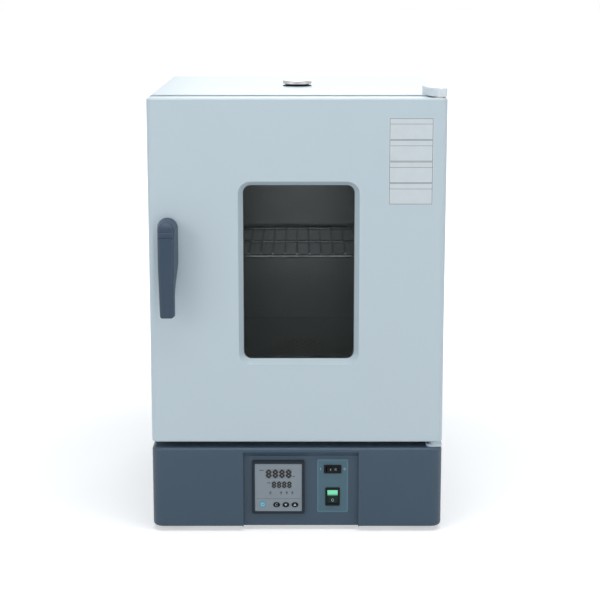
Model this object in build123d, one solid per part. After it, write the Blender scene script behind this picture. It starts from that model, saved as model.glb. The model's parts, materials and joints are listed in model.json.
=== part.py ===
from build123d import *
import math
import os

# A bench drying oven with a nitrogen inlet: a painted cabinet on a dark base, with a glazed door hung on
# the right, a fan under a perforated chamber floor and a controller in the base front.
# Frame: +X to the viewer's right, +Y to the back, +Z up, origin on the ground under the middle of the whole
# envelope. Lengths are in millimetres.

# Envelope
width = 490.0
depth = 545.0            # front of the door to the back panel
foot_height = 8.0
base_height = 139.0
door_gap = 9.0           # dark slot between base and door
cabinet_height = 589.0   # deck of the base to the top face
door_drop = 2.0          # top of the door below the top face
door_thickness = 45.0
seal_gap = 5.0           # back of the door to the cabinet front
base_nose = 6.0          # how far the base stands in front of the door
handle_reach = 49.0      # handle's bulge in front of the door
rear_reach = 32.0        # gas inlet behind the back panel

# Sheets and clearances
case_sheet = 1.5
liner_sheet = 1.5
slip = 0.3               # soft part or moving part to its neighbour
running = 0.05           # radial clearance of a shaft in its bore

# Chamber
side_wall = 70.0         # outside of the case to the inside of the chamber
roof_wall = 103.0        # chamber ceiling to the top face
back_insulation = 90.0
wiring_space = 48.5      # back of the insulation to the outside of the back panel
chamber_radius = 2.0     # bend of the folded liner
floor_above_deck = 136.0
plenum_depth = 70.0      # air space under the chamber floor
sill_depth = 54.0        # solid front sill ahead of that space
shaft_tube_radius = 7.0  # passage of the fan shaft through the insulation

# Base
base_plan_radius = 18.0
base_rear_radius = 6.0
base_rim_radius = 6.0
base_flange = 12.0
recess_left = -91.0
recess_right = 104.0
recess_depth = 9.0
hood_drop = 10.0
foot_radius = 16.0
foot_inset = 42.0

# Door and window
case_bend = 6.0
door_edge_radius = 10.0
door_rim_radius = 3.0
window_centre = 3.0
window_width = 184.4
window_sill = 14.7       # glass edge above the chamber floor
window_head = 42.4       # glass edge below the chamber ceiling
window_radius = 13.0
bevel_width = 7.7
bevel_depth = 15.5
glass_thickness = 4.0
glass_lap = 8.0
seal_thickness = 1.5
gasket_gap = 5.0         # chamber mouth to the seal
gasket_width = 16.0

# Hinges
pin_inset = 12.0         # hinge axis in from the door's side and front
pin_radius = 4.0
bush_radius = 7.0
bush_length = 22.0
bush_flange = 1.0
bracket_thickness = 3.0
cover_width = 36.0
cover_length = 92.0
cover_height = 14.5
cover_sheet = 1.5
cover_corner = 6.0
lower_plate = 4.0

# Handle and latch
handle_inset = 32.5      # handle axis in from the door's left edge
handle_axis_height = 514.0
hub_radius = 17.0
handle_length = 147.0
handle_draft = 5.0
spindle_radius = 5.0
spindle_bush_wall = 2.0
cam_long = 19.4
cam_short = 12.0
cam_thickness = 9.0
leaf_thickness = 1.0
leaf_flare = 2.5
pocket_width = 30.0
pocket_height = 44.0
pocket_depth = 22.0

# Controls
controller_centre = -31.65
controller_middle = 68.25     # above the bottom edge of the base
controller_width = 88.9
controller_height = 93.1
bezel_proud = 5.0
bezel_border = 4.6
overlay_sheet = 1.0
key_travel = 0.6
key_slip = 0.1
switch_label_centre = 60.25
switch_label_middle = 70.35
switch_label_width = 53.5
switch_label_height = 94.5
power_rocker_middle = 51.35
fan_rocker_middle = 99.9
rocker_swing = 14.0           # degrees from one stop to the other

# Fan
fan_setback = 180.0      # behind the front of the door
fan_radius = 50.0
fan_height = 24.0
fan_blades = 14
motor_radius = 38.0
motor_height = 56.0
shaft_radius = 4.0

# Vent and gas inlet
vent_setback = 270.0
vent_radius = 25.5
vent_height = 10.0
vent_bore = 16.0
vent_wall = 1.5
gas_inset = 25.0         # gas pipe in from the chamber's left wall
gas_bore = 2.5
gas_pipe_radius = 4.0
gas_thread_radius = 5.0

# Screws and rear fittings
back_screw_radius = 1.8
back_screw_inset = 14.0
foot_screw_radius = 2.5
inlet_inset = 95.0       # appliance inlet in from the right side
inlet_height = 54.0      # above the bottom edge of the base
inlet_flange = 3.5
inlet_screw_reach = 20.0
inlet_screw_radius = 1.75
fuse_pitch = 38.0        # fuse holder to the left of the inlet
fuse_radius = 6.5

# Levels and planes that follow from the sizes above
half = width / 2
base_z = foot_height
deck_z = base_z + base_height
door_z0 = deck_z + door_gap
top_z = deck_z + cabinet_height
door_z1 = top_z - door_drop
door_y = (handle_reach - rear_reach - depth) / 2
base_y = door_y - base_nose
panel_y = base_y + recess_depth
door_back = door_y + door_thickness
cab_y = door_back + seal_gap
back_y = door_y + depth
floor_z = deck_z + floor_above_deck
ceiling_z = top_z - roof_wall
insulation_back = back_y - wiring_space
chamber_back = insulation_back - back_insulation - liner_sheet
chamber_half = half - side_wall
sill_y = cab_y + sill_depth
plenum_z = floor_z - plenum_depth
fan_y = door_y + fan_setback
vent_y = door_y + vent_setback
pin_x = half - pin_inset
pin_y = door_y + pin_inset
handle_x = -half + handle_inset
handle_z = base_z + handle_axis_height
gas_x = -chamber_half + gas_inset
gas_z = plenum_z + plenum_depth / 2
vent_tube_radius = vent_bore + vent_wall
inlet_x = half - inlet_inset
inlet_z = base_z + inlet_height
fuse_x = inlet_x - fuse_pitch
deck_under = deck_z - case_sheet
window_height = ceiling_z - floor_z - window_sill - window_head
window_z = floor_z + window_sill + window_height / 2


# Shapes that repeat

def block(x0, x1, y0, y1, z0, z1):
    """Rectangular solid between two corners."""
    middle = Pos((x0 + x1) / 2, (y0 + y1) / 2, (z0 + z1) / 2)
    return middle * Box(x1 - x0, y1 - y0, z1 - z0)


def facing(y):
    """Drawing plane at depth y, seen from the front: right is +X and up is +Z."""
    return Plane(origin=(0, y, 0), x_dir=(1, 0, 0), z_dir=(0, -1, 0))


def slab(outline, y0, y1):
    """An outline seen from the front, with its depth from y0 back to y1."""
    return extrude(facing(y1) * outline, amount=y1 - y0, dir=(0, -1, 0))


def plate(outline, z0, z1):
    """An outline seen from above, from z0 up to z1."""
    return extrude(Plane.XY.offset(z0) * outline, amount=z1 - z0, dir=(0, 0, 1))


def rounded(x0, x1, z0, z1, radius):
    """Rounded rectangle between two corners."""
    return Pos((x0 + x1) / 2, (z0 + z1) / 2) * RectangleRounded(x1 - x0, z1 - z0, radius)


def post(x, y, z0, z1, radius):
    """Upright cylinder."""
    return Pos(x, y, (z0 + z1) / 2) * Cylinder(radius, z1 - z0)


def bar(x, z, y0, y1, radius):
    """Cylinder that runs front to back."""
    return slab(Pos(x, z) * Circle(radius), y0, y1)


def side_profile(points, x0, x1):
    """A (y, z) polygon, drawn as seen from the right, with its width from x0 to x1."""
    plane = Plane(origin=(x0, 0, 0), x_dir=(0, 1, 0), z_dir=(1, 0, 0))
    return extrude(plane * Polygon(*points, align=None), amount=x1 - x0, dir=(1, 0, 0))


def turned(points):
    """A (radius, height) polygon turned about the Z axis."""
    return revolve(Plane.XZ * Polygon(*points, align=None), axis=Axis.Z)


def pan_screw(shank_radius, head_radius, head_height, length):
    """Pan-head screw, head up, with the underside of its head at the origin."""
    crown = head_height * 0.45
    return turned([
        (0, -length),
        (shank_radius, -length),
        (shank_radius, 0),
        (head_radius, 0),
        (head_radius, head_height - crown),
        (head_radius - crown, head_height),
        (0, head_height),
    ])


def group(solids):
    """Separate solids that share one node."""
    return Compound(children=[s for item in solids for s in item.solids()])


# Cabinet

def case_outline(inset):
    """Front view of the case, moved in by inset, running on below the deck."""
    below = deck_z - 4 * case_bend
    return rounded(-half + inset, half - inset, below, top_z - inset, case_bend - inset)


def above_deck(solid):
    reach = width + depth
    return solid - block(-reach, reach, -reach, reach, -reach, deck_z)


def mouth_outline(grow):
    """Front view of the chamber mouth, moved out by grow."""
    reach = chamber_half + grow
    return rounded(-reach, reach, floor_z - grow, ceiling_z + grow, chamber_radius + grow)


def chamber_space(grow):
    """Chamber and the air plenum under its floor, open to the front, moved out by grow."""
    front = cab_y + case_sheet
    oven = slab(mouth_outline(grow), front, chamber_back + grow)
    plenum = block(
        -chamber_half - grow,
        chamber_half + grow,
        sill_y - grow,
        chamber_back + grow,
        plenum_z - grow,
        floor_z + chamber_radius,
    )
    return oven + plenum


heater_bay = chamber_half - fan_radius    # clear width beside the fan
heater_radius = 4.0
heater_lift = 28.0       # above the bottom of the plenum
heater_setback = 30.0    # bend behind the sill
heater_seat = 10.0       # flange beyond a leg's centre
inner_leg = fan_radius + heater_bay / 5
outer_leg = chamber_half - 2 * heater_bay / 5
heater_spots = [(-outer_leg, -inner_leg), (inner_leg, outer_leg)]
heater_z = plenum_z + heater_lift
heater_front = sill_y + heater_setback
probe_inset = 55.0
probe_drop = 20.0
probe_length = 60.0      # inside the chamber
probe_radius = 2.0
probe_spot = (chamber_half - probe_inset, ceiling_z - probe_drop)


def rear_passages(grow):
    """What passes through the chamber back: heater legs, probe and gas pipe, moved out by grow."""
    y0 = chamber_back - 1
    y1 = insulation_back + 1
    legs = [bar(x, heater_z, y0, y1, heater_radius + grow) for pair in heater_spots for x in pair]
    legs.append(bar(probe_spot[0], probe_spot[1], y0, y1, probe_radius + grow))
    legs.append(bar(gas_x, gas_z, y0, y1, gas_pipe_radius + grow))
    return legs


def latch_pocket(grow):
    """Space behind the front frame for the latch, moved out by grow."""
    w = pocket_width / 2 + grow
    h = pocket_height / 2 + grow
    return slab(
        rounded(handle_x - w, handle_x + w, handle_z - h, handle_z + h, 4 + grow),
        cab_y - 1,
        cab_y + pocket_depth + grow,
    )


def outer_case():
    shell = slab(case_outline(0), cab_y, back_y) - slab(case_outline(case_sheet), cab_y, back_y)
    shell -= post(0, vent_y, top_z - 5, top_z + 5, vent_tube_radius)
    for x, y in upper_screw_spots:
        shell -= post(x, y, top_z - 5, top_z + 5, upper_screw_radius)
    return above_deck(shell) + rear_strips()


def back_screw_spots():
    x = half - back_screw_inset
    rows = [deck_z + back_screw_inset, deck_z + cabinet_height / 2, top_z - back_screw_inset]
    return [(side * x, z) for side in (-1, 1) for z in rows]


cooling_slot = (120.0, 5.0)
cooling_slot_pitch = 14.0
cooling_slot_rows = 5
cooling_slot_shift = 40.0    # to the right, over the motor's air path


def back_panel():
    panel = above_deck(slab(case_outline(case_sheet), back_y - case_sheet, back_y))
    for x, z in back_screw_spots():
        panel -= bar(x, z, back_y - 5, back_y + 5, back_screw_radius)
    panel -= bar(gas_x, gas_z, back_y - 5, back_y + 5, gas_thread_radius)
    for row in range(cooling_slot_rows):
        z = deck_z + cooling_slot_shift + row * cooling_slot_pitch
        slot = Pos(cooling_slot_shift, z) * SlotOverall(*cooling_slot)
        panel -= slab(slot, back_y - 5, back_y + 5)
    return panel


def rear_strips():
    """Folds along the rear edges of the case that take the back panel's screws."""
    strips = Part()
    fold = back_screw_inset + 9.5
    for side in (-1, 1):
        x0, x1 = sorted((side * (half - case_sheet), side * (half - fold)))
        y1 = back_y - case_sheet
        strip = block(x0, x1, y1 - case_sheet, y1, deck_z, top_z - case_sheet - case_bend)
        for x, z in back_screw_spots():
            strip -= bar(x, z, y1 - 5, y1 + 1, back_screw_radius)
        strips += strip
    return strips


def case_screws():
    """Screws of the back panel, the power inlet and the feet."""
    back = Rot(-90, 0, 0) * pan_screw(back_screw_radius, 3.8, 2.4, 8)
    inlet = Rot(-90, 0, 0) * pan_screw(inlet_screw_radius, 3.0, 1.8, inlet_flange)
    foot = Rot(180, 0, 0) * pan_screw(foot_screw_radius, 4.8, 2.6, 14)
    screws = [Pos(x, back_y, z) * back for x, z in back_screw_spots()]
    face = back_y + inlet_flange
    screws += [Pos(inlet_x + side * inlet_screw_reach, face, inlet_z) * inlet for side in (-1, 1)]
    screws += [Pos(x, y, foot_recess) * foot for x, y in foot_spots()]
    return group(screws)


def front_frame():
    y1 = cab_y + case_sheet
    frame = above_deck(slab(case_outline(case_sheet), cab_y, y1))
    frame -= slab(mouth_outline(0), cab_y - 1, y1 + 1)
    cup = latch_pocket(case_sheet) - block(-half, half, cab_y - 5, y1, base_z, top_z)
    return frame + cup - latch_pocket(0)


def inner_chamber():
    liner = chamber_space(liner_sheet) - chamber_space(0)
    liner -= post(0, vent_y, ceiling_z - 1, ceiling_z + 5, vent_tube_radius)
    liner -= post(0, fan_y, plenum_z - 5, plenum_z + 1, shaft_tube_radius)
    for passage in rear_passages(0):
        liner -= passage
    return liner


def insulation():
    front = cab_y + case_sheet
    wool = above_deck(slab(case_outline(case_sheet), front, insulation_back))
    wool -= chamber_space(liner_sheet)
    wool -= block(-chamber_half, chamber_half, front - 1, front + 1, floor_z, ceiling_z)
    wool -= latch_pocket(case_sheet)
    wool -= post(0, vent_y, ceiling_z, top_z, vent_tube_radius)
    wool -= post(0, fan_y, deck_z - 1, plenum_z, shaft_tube_radius)
    for x, y in upper_screw_spots:
        wool -= post(x, y, top_z - 20, top_z, upper_screw_radius + slip)
    for passage in rear_passages(0):
        wool -= passage
    return wool


pan_gap = 1.0
pan_sheet = 1.2
hole_pitch = 15.0
hole_radius = 4.6
side_slot = (34.0, 8.0)
side_slot_pitch = 42.0
side_slot_inset = 16.0
side_slot_start = 40.0       # first slot behind the sill


def chamber_floor():
    """Removable pan turned upside down: a perforated top over side and front skirts."""
    x1 = chamber_half - pan_gap
    y0 = sill_y + pan_gap
    y1 = chamber_back - pan_gap
    pan = block(-x1, x1, y0, y1, plenum_z, floor_z)
    pan -= block(
        -x1 + pan_sheet, x1 - pan_sheet, y0 + pan_sheet, y1 + 1, plenum_z - 1, floor_z - pan_sheet
    )
    holes = [(0, 0)]
    for ring in (1, 2, 3):
        count = 6 * ring
        for k in range(count):
            side, step = divmod(k, ring)
            a = math.radians(60 * side)
            b = math.radians(60 * side + 120)
            hx = hole_pitch * (ring * math.cos(a) + step * math.cos(b))
            hy = hole_pitch * (ring * math.sin(a) + step * math.sin(b))
            holes.append((hx, hy))
    drill = Sketch() + [Pos(hx, fan_y + hy) * Circle(hole_radius) for hx, hy in holes]
    pan -= plate(drill, floor_z - 5, floor_z + 5)
    run = y1 - sill_y - side_slot_start - side_slot[0]
    rows = int(run // side_slot_pitch) + 1
    slots = Sketch() + [
        Pos(side * (chamber_half - side_slot_inset), sill_y + side_slot_start + k * side_slot_pitch)
        * SlotOverall(*side_slot, rotation=90)
        for side in (-1, 1)
        for k in range(rows)
    ]
    return pan - plate(slots, floor_z - 5, floor_z + 5)


# Shelves

slot_pitch = 33.5
slot_size = (5.0, 12.0)
shelf_drop = 44.0            # upper shelf below the chamber ceiling
shelf_steps = 4              # slots from one shelf to the next
upper_level = ceiling_z - floor_z - shelf_drop
shelf_levels = [upper_level - shelf_steps * slot_pitch, upper_level]
strip_width = 16.0
strip_sheet = 1.5
strip_depth = 6.0
strip_end = 12.0             # strip's ends from the chamber floor and ceiling
front_strip_setback = 6.0    # behind the sill
rear_strip_inset = 50.0      # ahead of the chamber back
clip_width = 4.6
clip_reach = 16.0
shelf_wire = 3.0
rod_wire = 1.75
rod_count = 15
rod_weld = 0.6               # how far a rod sinks into the frame wire
shelf_side_gap = 9.5
shelf_front_reach = 10.0     # frame wire ahead of the sill's back
shelf_back_gap = 14.0
shelf_corner = 14.0


def strip_spots():
    rows = (sill_y + front_strip_setback, chamber_back - rear_strip_inset)
    return [(side, y) for side in (-1, 1) for y in rows]


def shelf_strips():
    """Slotted strips on the chamber's side walls, two on each side."""
    strips = []
    for side, y in strip_spots():
        wall = side * chamber_half
        x0, x1 = sorted((wall, wall - side * strip_depth))
        z0 = floor_z + strip_end
        z1 = ceiling_z - strip_end
        strip = block(x0, x1, y - strip_width / 2, y + strip_width / 2, z0, z1)
        c0, c1 = sorted((wall, wall - side * (strip_depth - strip_sheet)))
        hollow = strip_width / 2 - strip_sheet
        strip -= block(c0, c1, y - hollow, y + hollow, z0, z1)
        level = floor_z + shelf_levels[0] % slot_pitch
        while level < z1 - slot_size[1]:
            if level > z0 + slot_size[1]:
                cut0, cut1 = sorted((wall - side * strip_depth / 2, wall - side * (strip_depth + 2)))
                mid = level - slot_size[1] / 2
                strip -= block(
                    cut0, cut1, y - slot_size[0] / 2, y + slot_size[0] / 2,
                    mid - slot_size[1] / 2, mid + slot_size[1] / 2,
                )
            level += slot_pitch
        strips.append(strip)
    return group(strips)


def shelf_clips():
    """Hooks in the strips' slots, each carrying a corner of a shelf."""
    clips = []
    for side, y in strip_spots():
        wall = side * chamber_half
        for level in shelf_levels:
            top = floor_z + level
            face = strip_depth + slip
            behind = strip_depth - strip_sheet - slip
            sill = -slot_size[1]
            bends = [(1.5, sill - 4), (behind, sill - 4), (behind, sill), (face + 2, sill), (face + 2, -3)]
            bends += [(clip_reach, -3), (clip_reach, 3), (clip_reach - 2, 3), (clip_reach - 2, 0)]
            bends += [(face, 0), (face, sill + 3), (1.5, sill + 3)]
            outline = Polygon(*[(wall - side * u, top + v) for u, v in bends], align=None)
            clips.append(slab(outline, y - clip_width / 2, y + clip_width / 2))
    return group(clips)


def wire_shelf(level):
    """Wire shelf: a round-cornered frame wire under a row of welded rods."""
    z = floor_z + level + shelf_wire
    x1 = chamber_half - shelf_side_gap
    y0 = sill_y - shelf_front_reach
    y1 = chamber_back - shelf_back_gap
    frame = Pos(0, (y0 + y1) / 2) * RectangleRounded(2 * x1, y1 - y0, shelf_corner)
    path = Plane.XY.offset(z) * frame.wire()
    start = path @ 0
    section = Plane(origin=start, z_dir=path % 0) * Circle(shelf_wire)
    shelf = sweep(section, path=path)
    for k in range(rod_count):
        x = -x1 + (k + 1) * 2 * x1 / (rod_count + 1)
        shelf += bar(x, z + shelf_wire + rod_wire - rod_weld, y0 - 1.0, y1 + 1.0, rod_wire)
    brace = Pos(0, (y0 + y1) / 2, z) * Rot(0, 90, 0) * Cylinder(shelf_wire - 0.4, 2 * x1)
    return shelf + brace


# Heater, fan, probe and gas

def heater(pair):
    """Hairpin tube heater: two legs through the chamber back, joined by a half turn at the front."""
    left, right = pair
    half_gap = (right - left) / 2
    middle = (left + right) / 2
    bend_y = heater_front + half_gap
    y1 = insulation_back + 8
    tube = bar(left, heater_z, bend_y, y1, heater_radius) + bar(right, heater_z, bend_y, y1, heater_radius)
    ring = Pos(middle, bend_y, heater_z) * Torus(half_gap, heater_radius)
    x0, x1 = left - heater_seat, right + heater_seat
    z0, z1 = heater_z - heater_seat, heater_z + heater_seat
    ring -= block(x0, x1, bend_y, bend_y + half_gap + heater_seat, z0, z1)
    flange = rounded(x0, x1, z0, z1, heater_seat / 2)
    seat = slab(flange, chamber_back - 2, chamber_back)
    element = tube + ring + seat
    for x in pair:
        element += bar(x, heater_z, y1, y1 + 10, heater_radius * 0.4)
    return element


def temperature_probe():
    x, z = probe_spot
    tip_y = chamber_back - probe_length
    sheath = bar(x, z, tip_y, insulation_back + 6, probe_radius)
    tip = Pos(x, tip_y, z) * Sphere(probe_radius)
    collar = bar(x, z, chamber_back - 4, chamber_back, 2.5 * probe_radius)
    return sheath + tip + collar


barb_radius = 4.5
barb_lip = 1.1               # how far a rib stands out
barb_pitch = 5.0
barb_start = 15.0
hexagon_radius = 8.5


def nitrogen_inlet():
    """Hose barb on the back panel: hexagon, nut behind the panel and a ribbed spigot."""
    collar = hexagon_radius + 0.5
    ribs = [(gas_bore, 0), (collar, 0), (collar, 2), (barb_radius, 2), (barb_radius, barb_start)]
    crest = barb_radius + barb_lip
    for k in range(3):
        z = barb_start + k * barb_pitch
        ribs += [(crest, z + 0.4), (crest, z + 1.0), (barb_radius, z + barb_pitch)]
    ribs += [(barb_radius, rear_reach - 1), (barb_radius - 0.6, rear_reach), (gas_bore, rear_reach)]
    body = turned(ribs)
    body += plate(RegularPolygon(hexagon_radius, 6) - Circle(gas_bore), 0, 7)
    body += plate(Circle(gas_thread_radius) - Circle(gas_bore), -14, 0)
    nut = plate(RegularPolygon(collar, 6) - Circle(gas_thread_radius), -case_sheet - 4, -case_sheet)
    return group([Pos(gas_x, back_y, gas_z) * Rot(-90, 0, 0) * piece for piece in (body, nut)])


def nitrogen_pipe():
    """Pipe from the inlet through the insulation into the plenum."""
    y0 = chamber_back - 3 * gas_pipe_radius
    y1 = back_y - 14
    pipe = bar(gas_x, gas_z, y0, y1, gas_pipe_radius)
    ring = bar(gas_x, gas_z, chamber_back - 2, chamber_back, 2 * gas_pipe_radius)
    return pipe + ring - bar(gas_x, gas_z, y0 - 1, y1 + 1, gas_bore)


fan_z = plenum_z + 14.0
fan_sheet = 1.4
fan_hub_radius = 9.0
fan_nut_height = 4.0


def fan_impeller():
    """Centrifugal wheel: hub, back plate, curved blades and a shroud ring with an open eye."""
    top = fan_z + fan_height
    wheel = plate(Circle(fan_radius), fan_z, fan_z + fan_sheet)
    wheel += post(0, 0, fan_z, top - fan_nut_height, fan_hub_radius)
    wheel += plate(Circle(fan_radius) - Circle(fan_radius * 0.72), top - fan_sheet, top)
    inner = fan_radius * 0.62
    outer = fan_radius - 1.0
    arc = ThreePointArc((inner, 0), ((inner + outer) / 2, fan_radius / 20), (outer, fan_radius / 5))
    blade = plate(SlotArc(arc, fan_sheet), fan_z + fan_sheet / 2, top - fan_sheet / 2)
    for k in range(fan_blades):
        wheel += Rot(0, 0, k * 360 / fan_blades) * blade
    wheel -= post(0, 0, fan_z - 1, top + 1, shaft_radius)
    return Pos(0, fan_y, 0) * wheel


motor_hang = 16.0            # bracket's depth under the deck
motor_top = deck_under - motor_hang
motor_step = 6.0             # end bells inside the stator
motor_fins = 10
motor_fin = 2.0
shaft_grip = 40.0            # shaft inside the motor
bracket_sheet = 2.0
bracket_half_depth = 30.0
bracket_foot = 14.0


def fan_shaft():
    top = fan_z + fan_height
    shaft = post(0, fan_y, motor_top - shaft_grip, top, shaft_radius)
    nut = plate(RegularPolygon(6.5, 6) - Circle(shaft_radius), top - fan_nut_height, top - 0.5)
    return shaft + Pos(0, fan_y, 0) * nut


def fan_motor():
    """Finned stator between two end bells."""
    bottom = motor_top - motor_height
    bell = motor_radius - motor_step
    body = turned([
        (0, bottom),
        (bell - motor_step, bottom),
        (bell, bottom + motor_step),
        (motor_radius, bottom + motor_step),
        (motor_radius, motor_top - motor_step),
        (bell, motor_top - motor_step),
        (bell - motor_step / 2, motor_top),
        (0, motor_top),
    ])
    for k in range(motor_fins):
        fin = block(
            motor_radius - motor_fin,
            motor_radius + motor_fin,
            -motor_fin / 2,
            motor_fin / 2,
            bottom + 2 * motor_step,
            motor_top - 2 * motor_step,
        )
        body += Rot(0, 0, (k + 0.5) * 360 / motor_fins) * fin
    body -= post(0, 0, motor_top - shaft_grip - 2, motor_top + 1, shaft_radius + running)
    return Pos(0, fan_y, 0) * body


def motor_bracket():
    """Hat-shaped bracket that hangs the motor under the deck."""
    w = motor_radius + motor_step
    d = bracket_half_depth
    hat = block(-w, w, -d, d, motor_top, deck_under)
    hat -= block(
        -w + bracket_sheet, w - bracket_sheet, -d - 1, d + 1, motor_top + bracket_sheet, deck_under + 1
    )
    for side in (-1, 1):
        x0, x1 = sorted((side * w, side * (w + bracket_foot)))
        hat += block(x0, x1, -d, d, deck_under - bracket_sheet, deck_under)
    hat -= post(0, 0, motor_top - 1, motor_top + 5, shaft_tube_radius)
    return Pos(0, fan_y, 0) * hat


# Base

def base_plan(inset):
    """Base seen from above, moved in by inset: large front corners, small rear ones."""
    x = half - inset
    y0 = base_y + inset
    y1 = back_y - inset
    outline = Pos(0, (y0 + y1) / 2) * Rectangle(2 * x, y1 - y0)
    front = outline.vertices().group_by(Axis.Y)[0]
    outline = fillet(front, base_plan_radius - inset)
    rear = outline.vertices().group_by(Axis.Y)[-1]
    return fillet(rear, max(base_rear_radius - inset, 1.0))


def base_block(inset):
    body = plate(base_plan(inset), base_z + inset, deck_z - inset)
    rims = body.edges().group_by(Axis.Z)
    return fillet(rims[0] + rims[-1], base_rim_radius - inset - 0.5)


hood_slope = hood_drop / recess_depth
hood_top = base_height - base_rim_radius - 0.2


def hood_z(y):
    return base_z + hood_top - (y - base_y) * hood_slope


def base_shell():
    shell = base_block(0) - base_block(case_sheet)
    shell -= plate(base_plan(base_flange), base_z - 1, base_z + case_sheet + 1)
    lip = base_y + case_sheet
    shell -= block(recess_left, recess_right, base_y - 1, lip, base_z - 1, base_z + hood_top)
    shell -= block(
        recess_left - case_sheet,
        recess_right + case_sheet,
        lip,
        panel_y + 8,
        base_z - 1,
        base_z + case_sheet + base_rim_radius,
    )
    shell -= post(0, fan_y, deck_z - 5, deck_z + 1, shaft_tube_radius)
    shell -= slab(Pos(inlet_x, inlet_z) * inlet_body_outline(), back_y - 5, back_y + 1)
    shell -= bar(fuse_x, inlet_z, back_y - 5, back_y + 1, fuse_radius)
    for x, y in lower_screw_spots:
        shell -= post(x, y, deck_z - 5, deck_z + 1, lower_screw_radius)
    return shell


def base_floor():
    z0 = base_z + case_sheet
    floor = plate(base_plan(case_sheet + base_rim_radius), z0, z0 + case_sheet)
    floor -= block(recess_left - 4, recess_right + 4, base_y - 1, panel_y + 9, z0 - 1, z0 + 5)
    for row in range(6):
        slot = Pos(0, fan_y - 40 + row * 16) * SlotOverall(90, 6)
        floor -= plate(slot, z0 - 1, z0 + 5)
    for x, y in foot_spots():
        floor -= post(x, y, z0 - 1, z0 + 5, foot_screw_radius)
    return floor


foot_recess = 3.0            # screw head up inside the foot


def foot_spots():
    x = half - foot_inset
    return [(side * x, y) for side in (-1, 1) for y in (base_y + foot_inset, back_y - foot_inset)]


def feet():
    top = base_z + case_sheet
    foot = turned([
        (foot_screw_radius, foot_recess),
        (5.5, foot_recess),
        (5.5, 0),
        (foot_radius - 2.5, 0),
        (foot_radius - 1.5, 1),
        (foot_radius, top - 1),
        (foot_radius - 1, top),
        (foot_screw_radius, top),
    ])
    return group([Pos(x, y, 0) * foot for x, y in foot_spots()])


def control_panel():
    """Inset front panel: one folded sheet with a sloped hood, two side returns and the cut-outs."""
    lip = base_y + case_sheet
    rise = case_sheet * math.hypot(1, hood_slope)
    deep = panel_y + case_sheet
    outer = side_profile(
        [(lip, base_z), (deep, base_z), (deep, hood_z(deep) + rise), (lip, hood_z(lip) + rise)],
        recess_left - case_sheet,
        recess_right + case_sheet,
    )
    front = base_y - 1
    space = side_profile(
        [(front, base_z - 1), (panel_y, base_z - 1), (panel_y, hood_z(panel_y)), (front, hood_z(front))],
        recess_left,
        recess_right,
    )
    panel = outer - space
    panel -= slab(housing_outline(0), panel_y - 1, panel_y + 5)
    for cutout in rocker_cutouts():
        panel -= slab(cutout, panel_y - 1, panel_y + 5)
    return panel


# Controller

controller_body_width = 82.0
controller_body_height = 84.0
controller_body_depth = 62.0
bezel_y = panel_y - bezel_proud
overlay_y = bezel_y + 0.8
display_sink = 1.5           # display block behind the face sheet
key_well = 4.0
key_proud = 0.7
display_specs = {"pv": (-31.1, 92.5, 44.8, 16.8), "sv": (-26.05, 73.15, 34.7, 12.9)}
key_specs = {
    "key_power": (-58.4, 38.8, 10.4, 10.4),
    "key_set": (-34.7, 37.9, 11.6, 9.0),
    "key_down": (-19.0, 37.9, 11.6, 9.0),
    "key_up": (-3.6, 37.9, 11.6, 9.0),
}


def housing_outline(inset):
    """Controller housing behind the panel, moved in by inset from the panel's cut-out."""
    cz = base_z + controller_middle
    w = controller_body_width / 2 - inset
    h = controller_body_height / 2 - inset
    return rounded(controller_centre - w, controller_centre + w, cz - h, cz + h, 2)


def face_outline(inset, radius):
    cz = base_z + controller_middle
    w = controller_width / 2 - inset
    h = controller_height / 2 - inset
    return rounded(controller_centre - w, controller_centre + w, cz - h, cz + h, radius)


def key_outline(name, grow):
    x, z, w, h = key_specs[name]
    shape = Ellipse(w / 2 + grow, h / 2 + grow)
    return Pos(x, base_z + z) * shape


def display_outline(name, grow):
    x, z, w, h = display_specs[name]
    return Pos(x, base_z + z) * Rectangle(w + grow, h + grow)


def controller_bezel():
    """Moulded frame with a rounded front rim and a ledge that carries the face sheet."""
    frame = slab(face_outline(0, 3), bezel_y, panel_y)
    rim = frame.faces().sort_by(Axis.Y)[0].edges()
    frame = fillet(rim, 1.2)
    frame -= slab(face_outline(bezel_border, 1.5), bezel_y - 1, overlay_y + overlay_sheet)
    return frame - slab(face_outline(bezel_border + 3, 1), bezel_y, panel_y + 1)


def controller_face():
    """Printed face sheet with two display windows and four key holes."""
    sheet = slab(face_outline(bezel_border, 1.5), overlay_y, overlay_y + overlay_sheet)
    for name in display_specs:
        sheet -= slab(display_outline(name, 0), overlay_y - 1, overlay_y + 5)
    for name in key_specs:
        sheet -= slab(key_outline(name, key_slip), overlay_y - 1, overlay_y + 5)
    return sheet


def controller_display(name):
    return slab(display_outline(name, 0), overlay_y + 0.2, overlay_y + overlay_sheet + display_sink)


def controller_body():
    """Housing behind the face: front board, key wells and a case with side ribs and a rear connector."""
    y0 = overlay_y + overlay_sheet
    y1 = panel_y + controller_body_depth
    cz = base_z + controller_middle
    w = controller_body_width / 2 - slip
    front = slab(face_outline(bezel_border + 3, 1), y0, panel_y)
    body = front + slab(housing_outline(slip), panel_y, y1)
    for name in display_specs:
        body -= slab(display_outline(name, 0), y0 - 1, y0 + display_sink)
    for name in key_specs:
        body -= slab(key_outline(name, key_slip), y0 - 1, y0 + key_well)
    for side in (-1, 1):
        rib = controller_centre + side * w
        body -= block(rib - 2, rib + 2, panel_y + 14, y1 + 1, cz - 12, cz + 12)
    return body - block(controller_centre - 30, controller_centre + 30, y1 - 8, y1 + 1, cz - 20, cz + 8)


def controller_key(name):
    y0 = overlay_y - key_proud
    y1 = overlay_y + overlay_sheet + key_well - key_travel - slip
    cap = slab(key_outline(name, 0), y0, y1)
    return fillet(cap.faces().sort_by(Axis.Y)[0].edges(), 0.35)


# Switches

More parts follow.
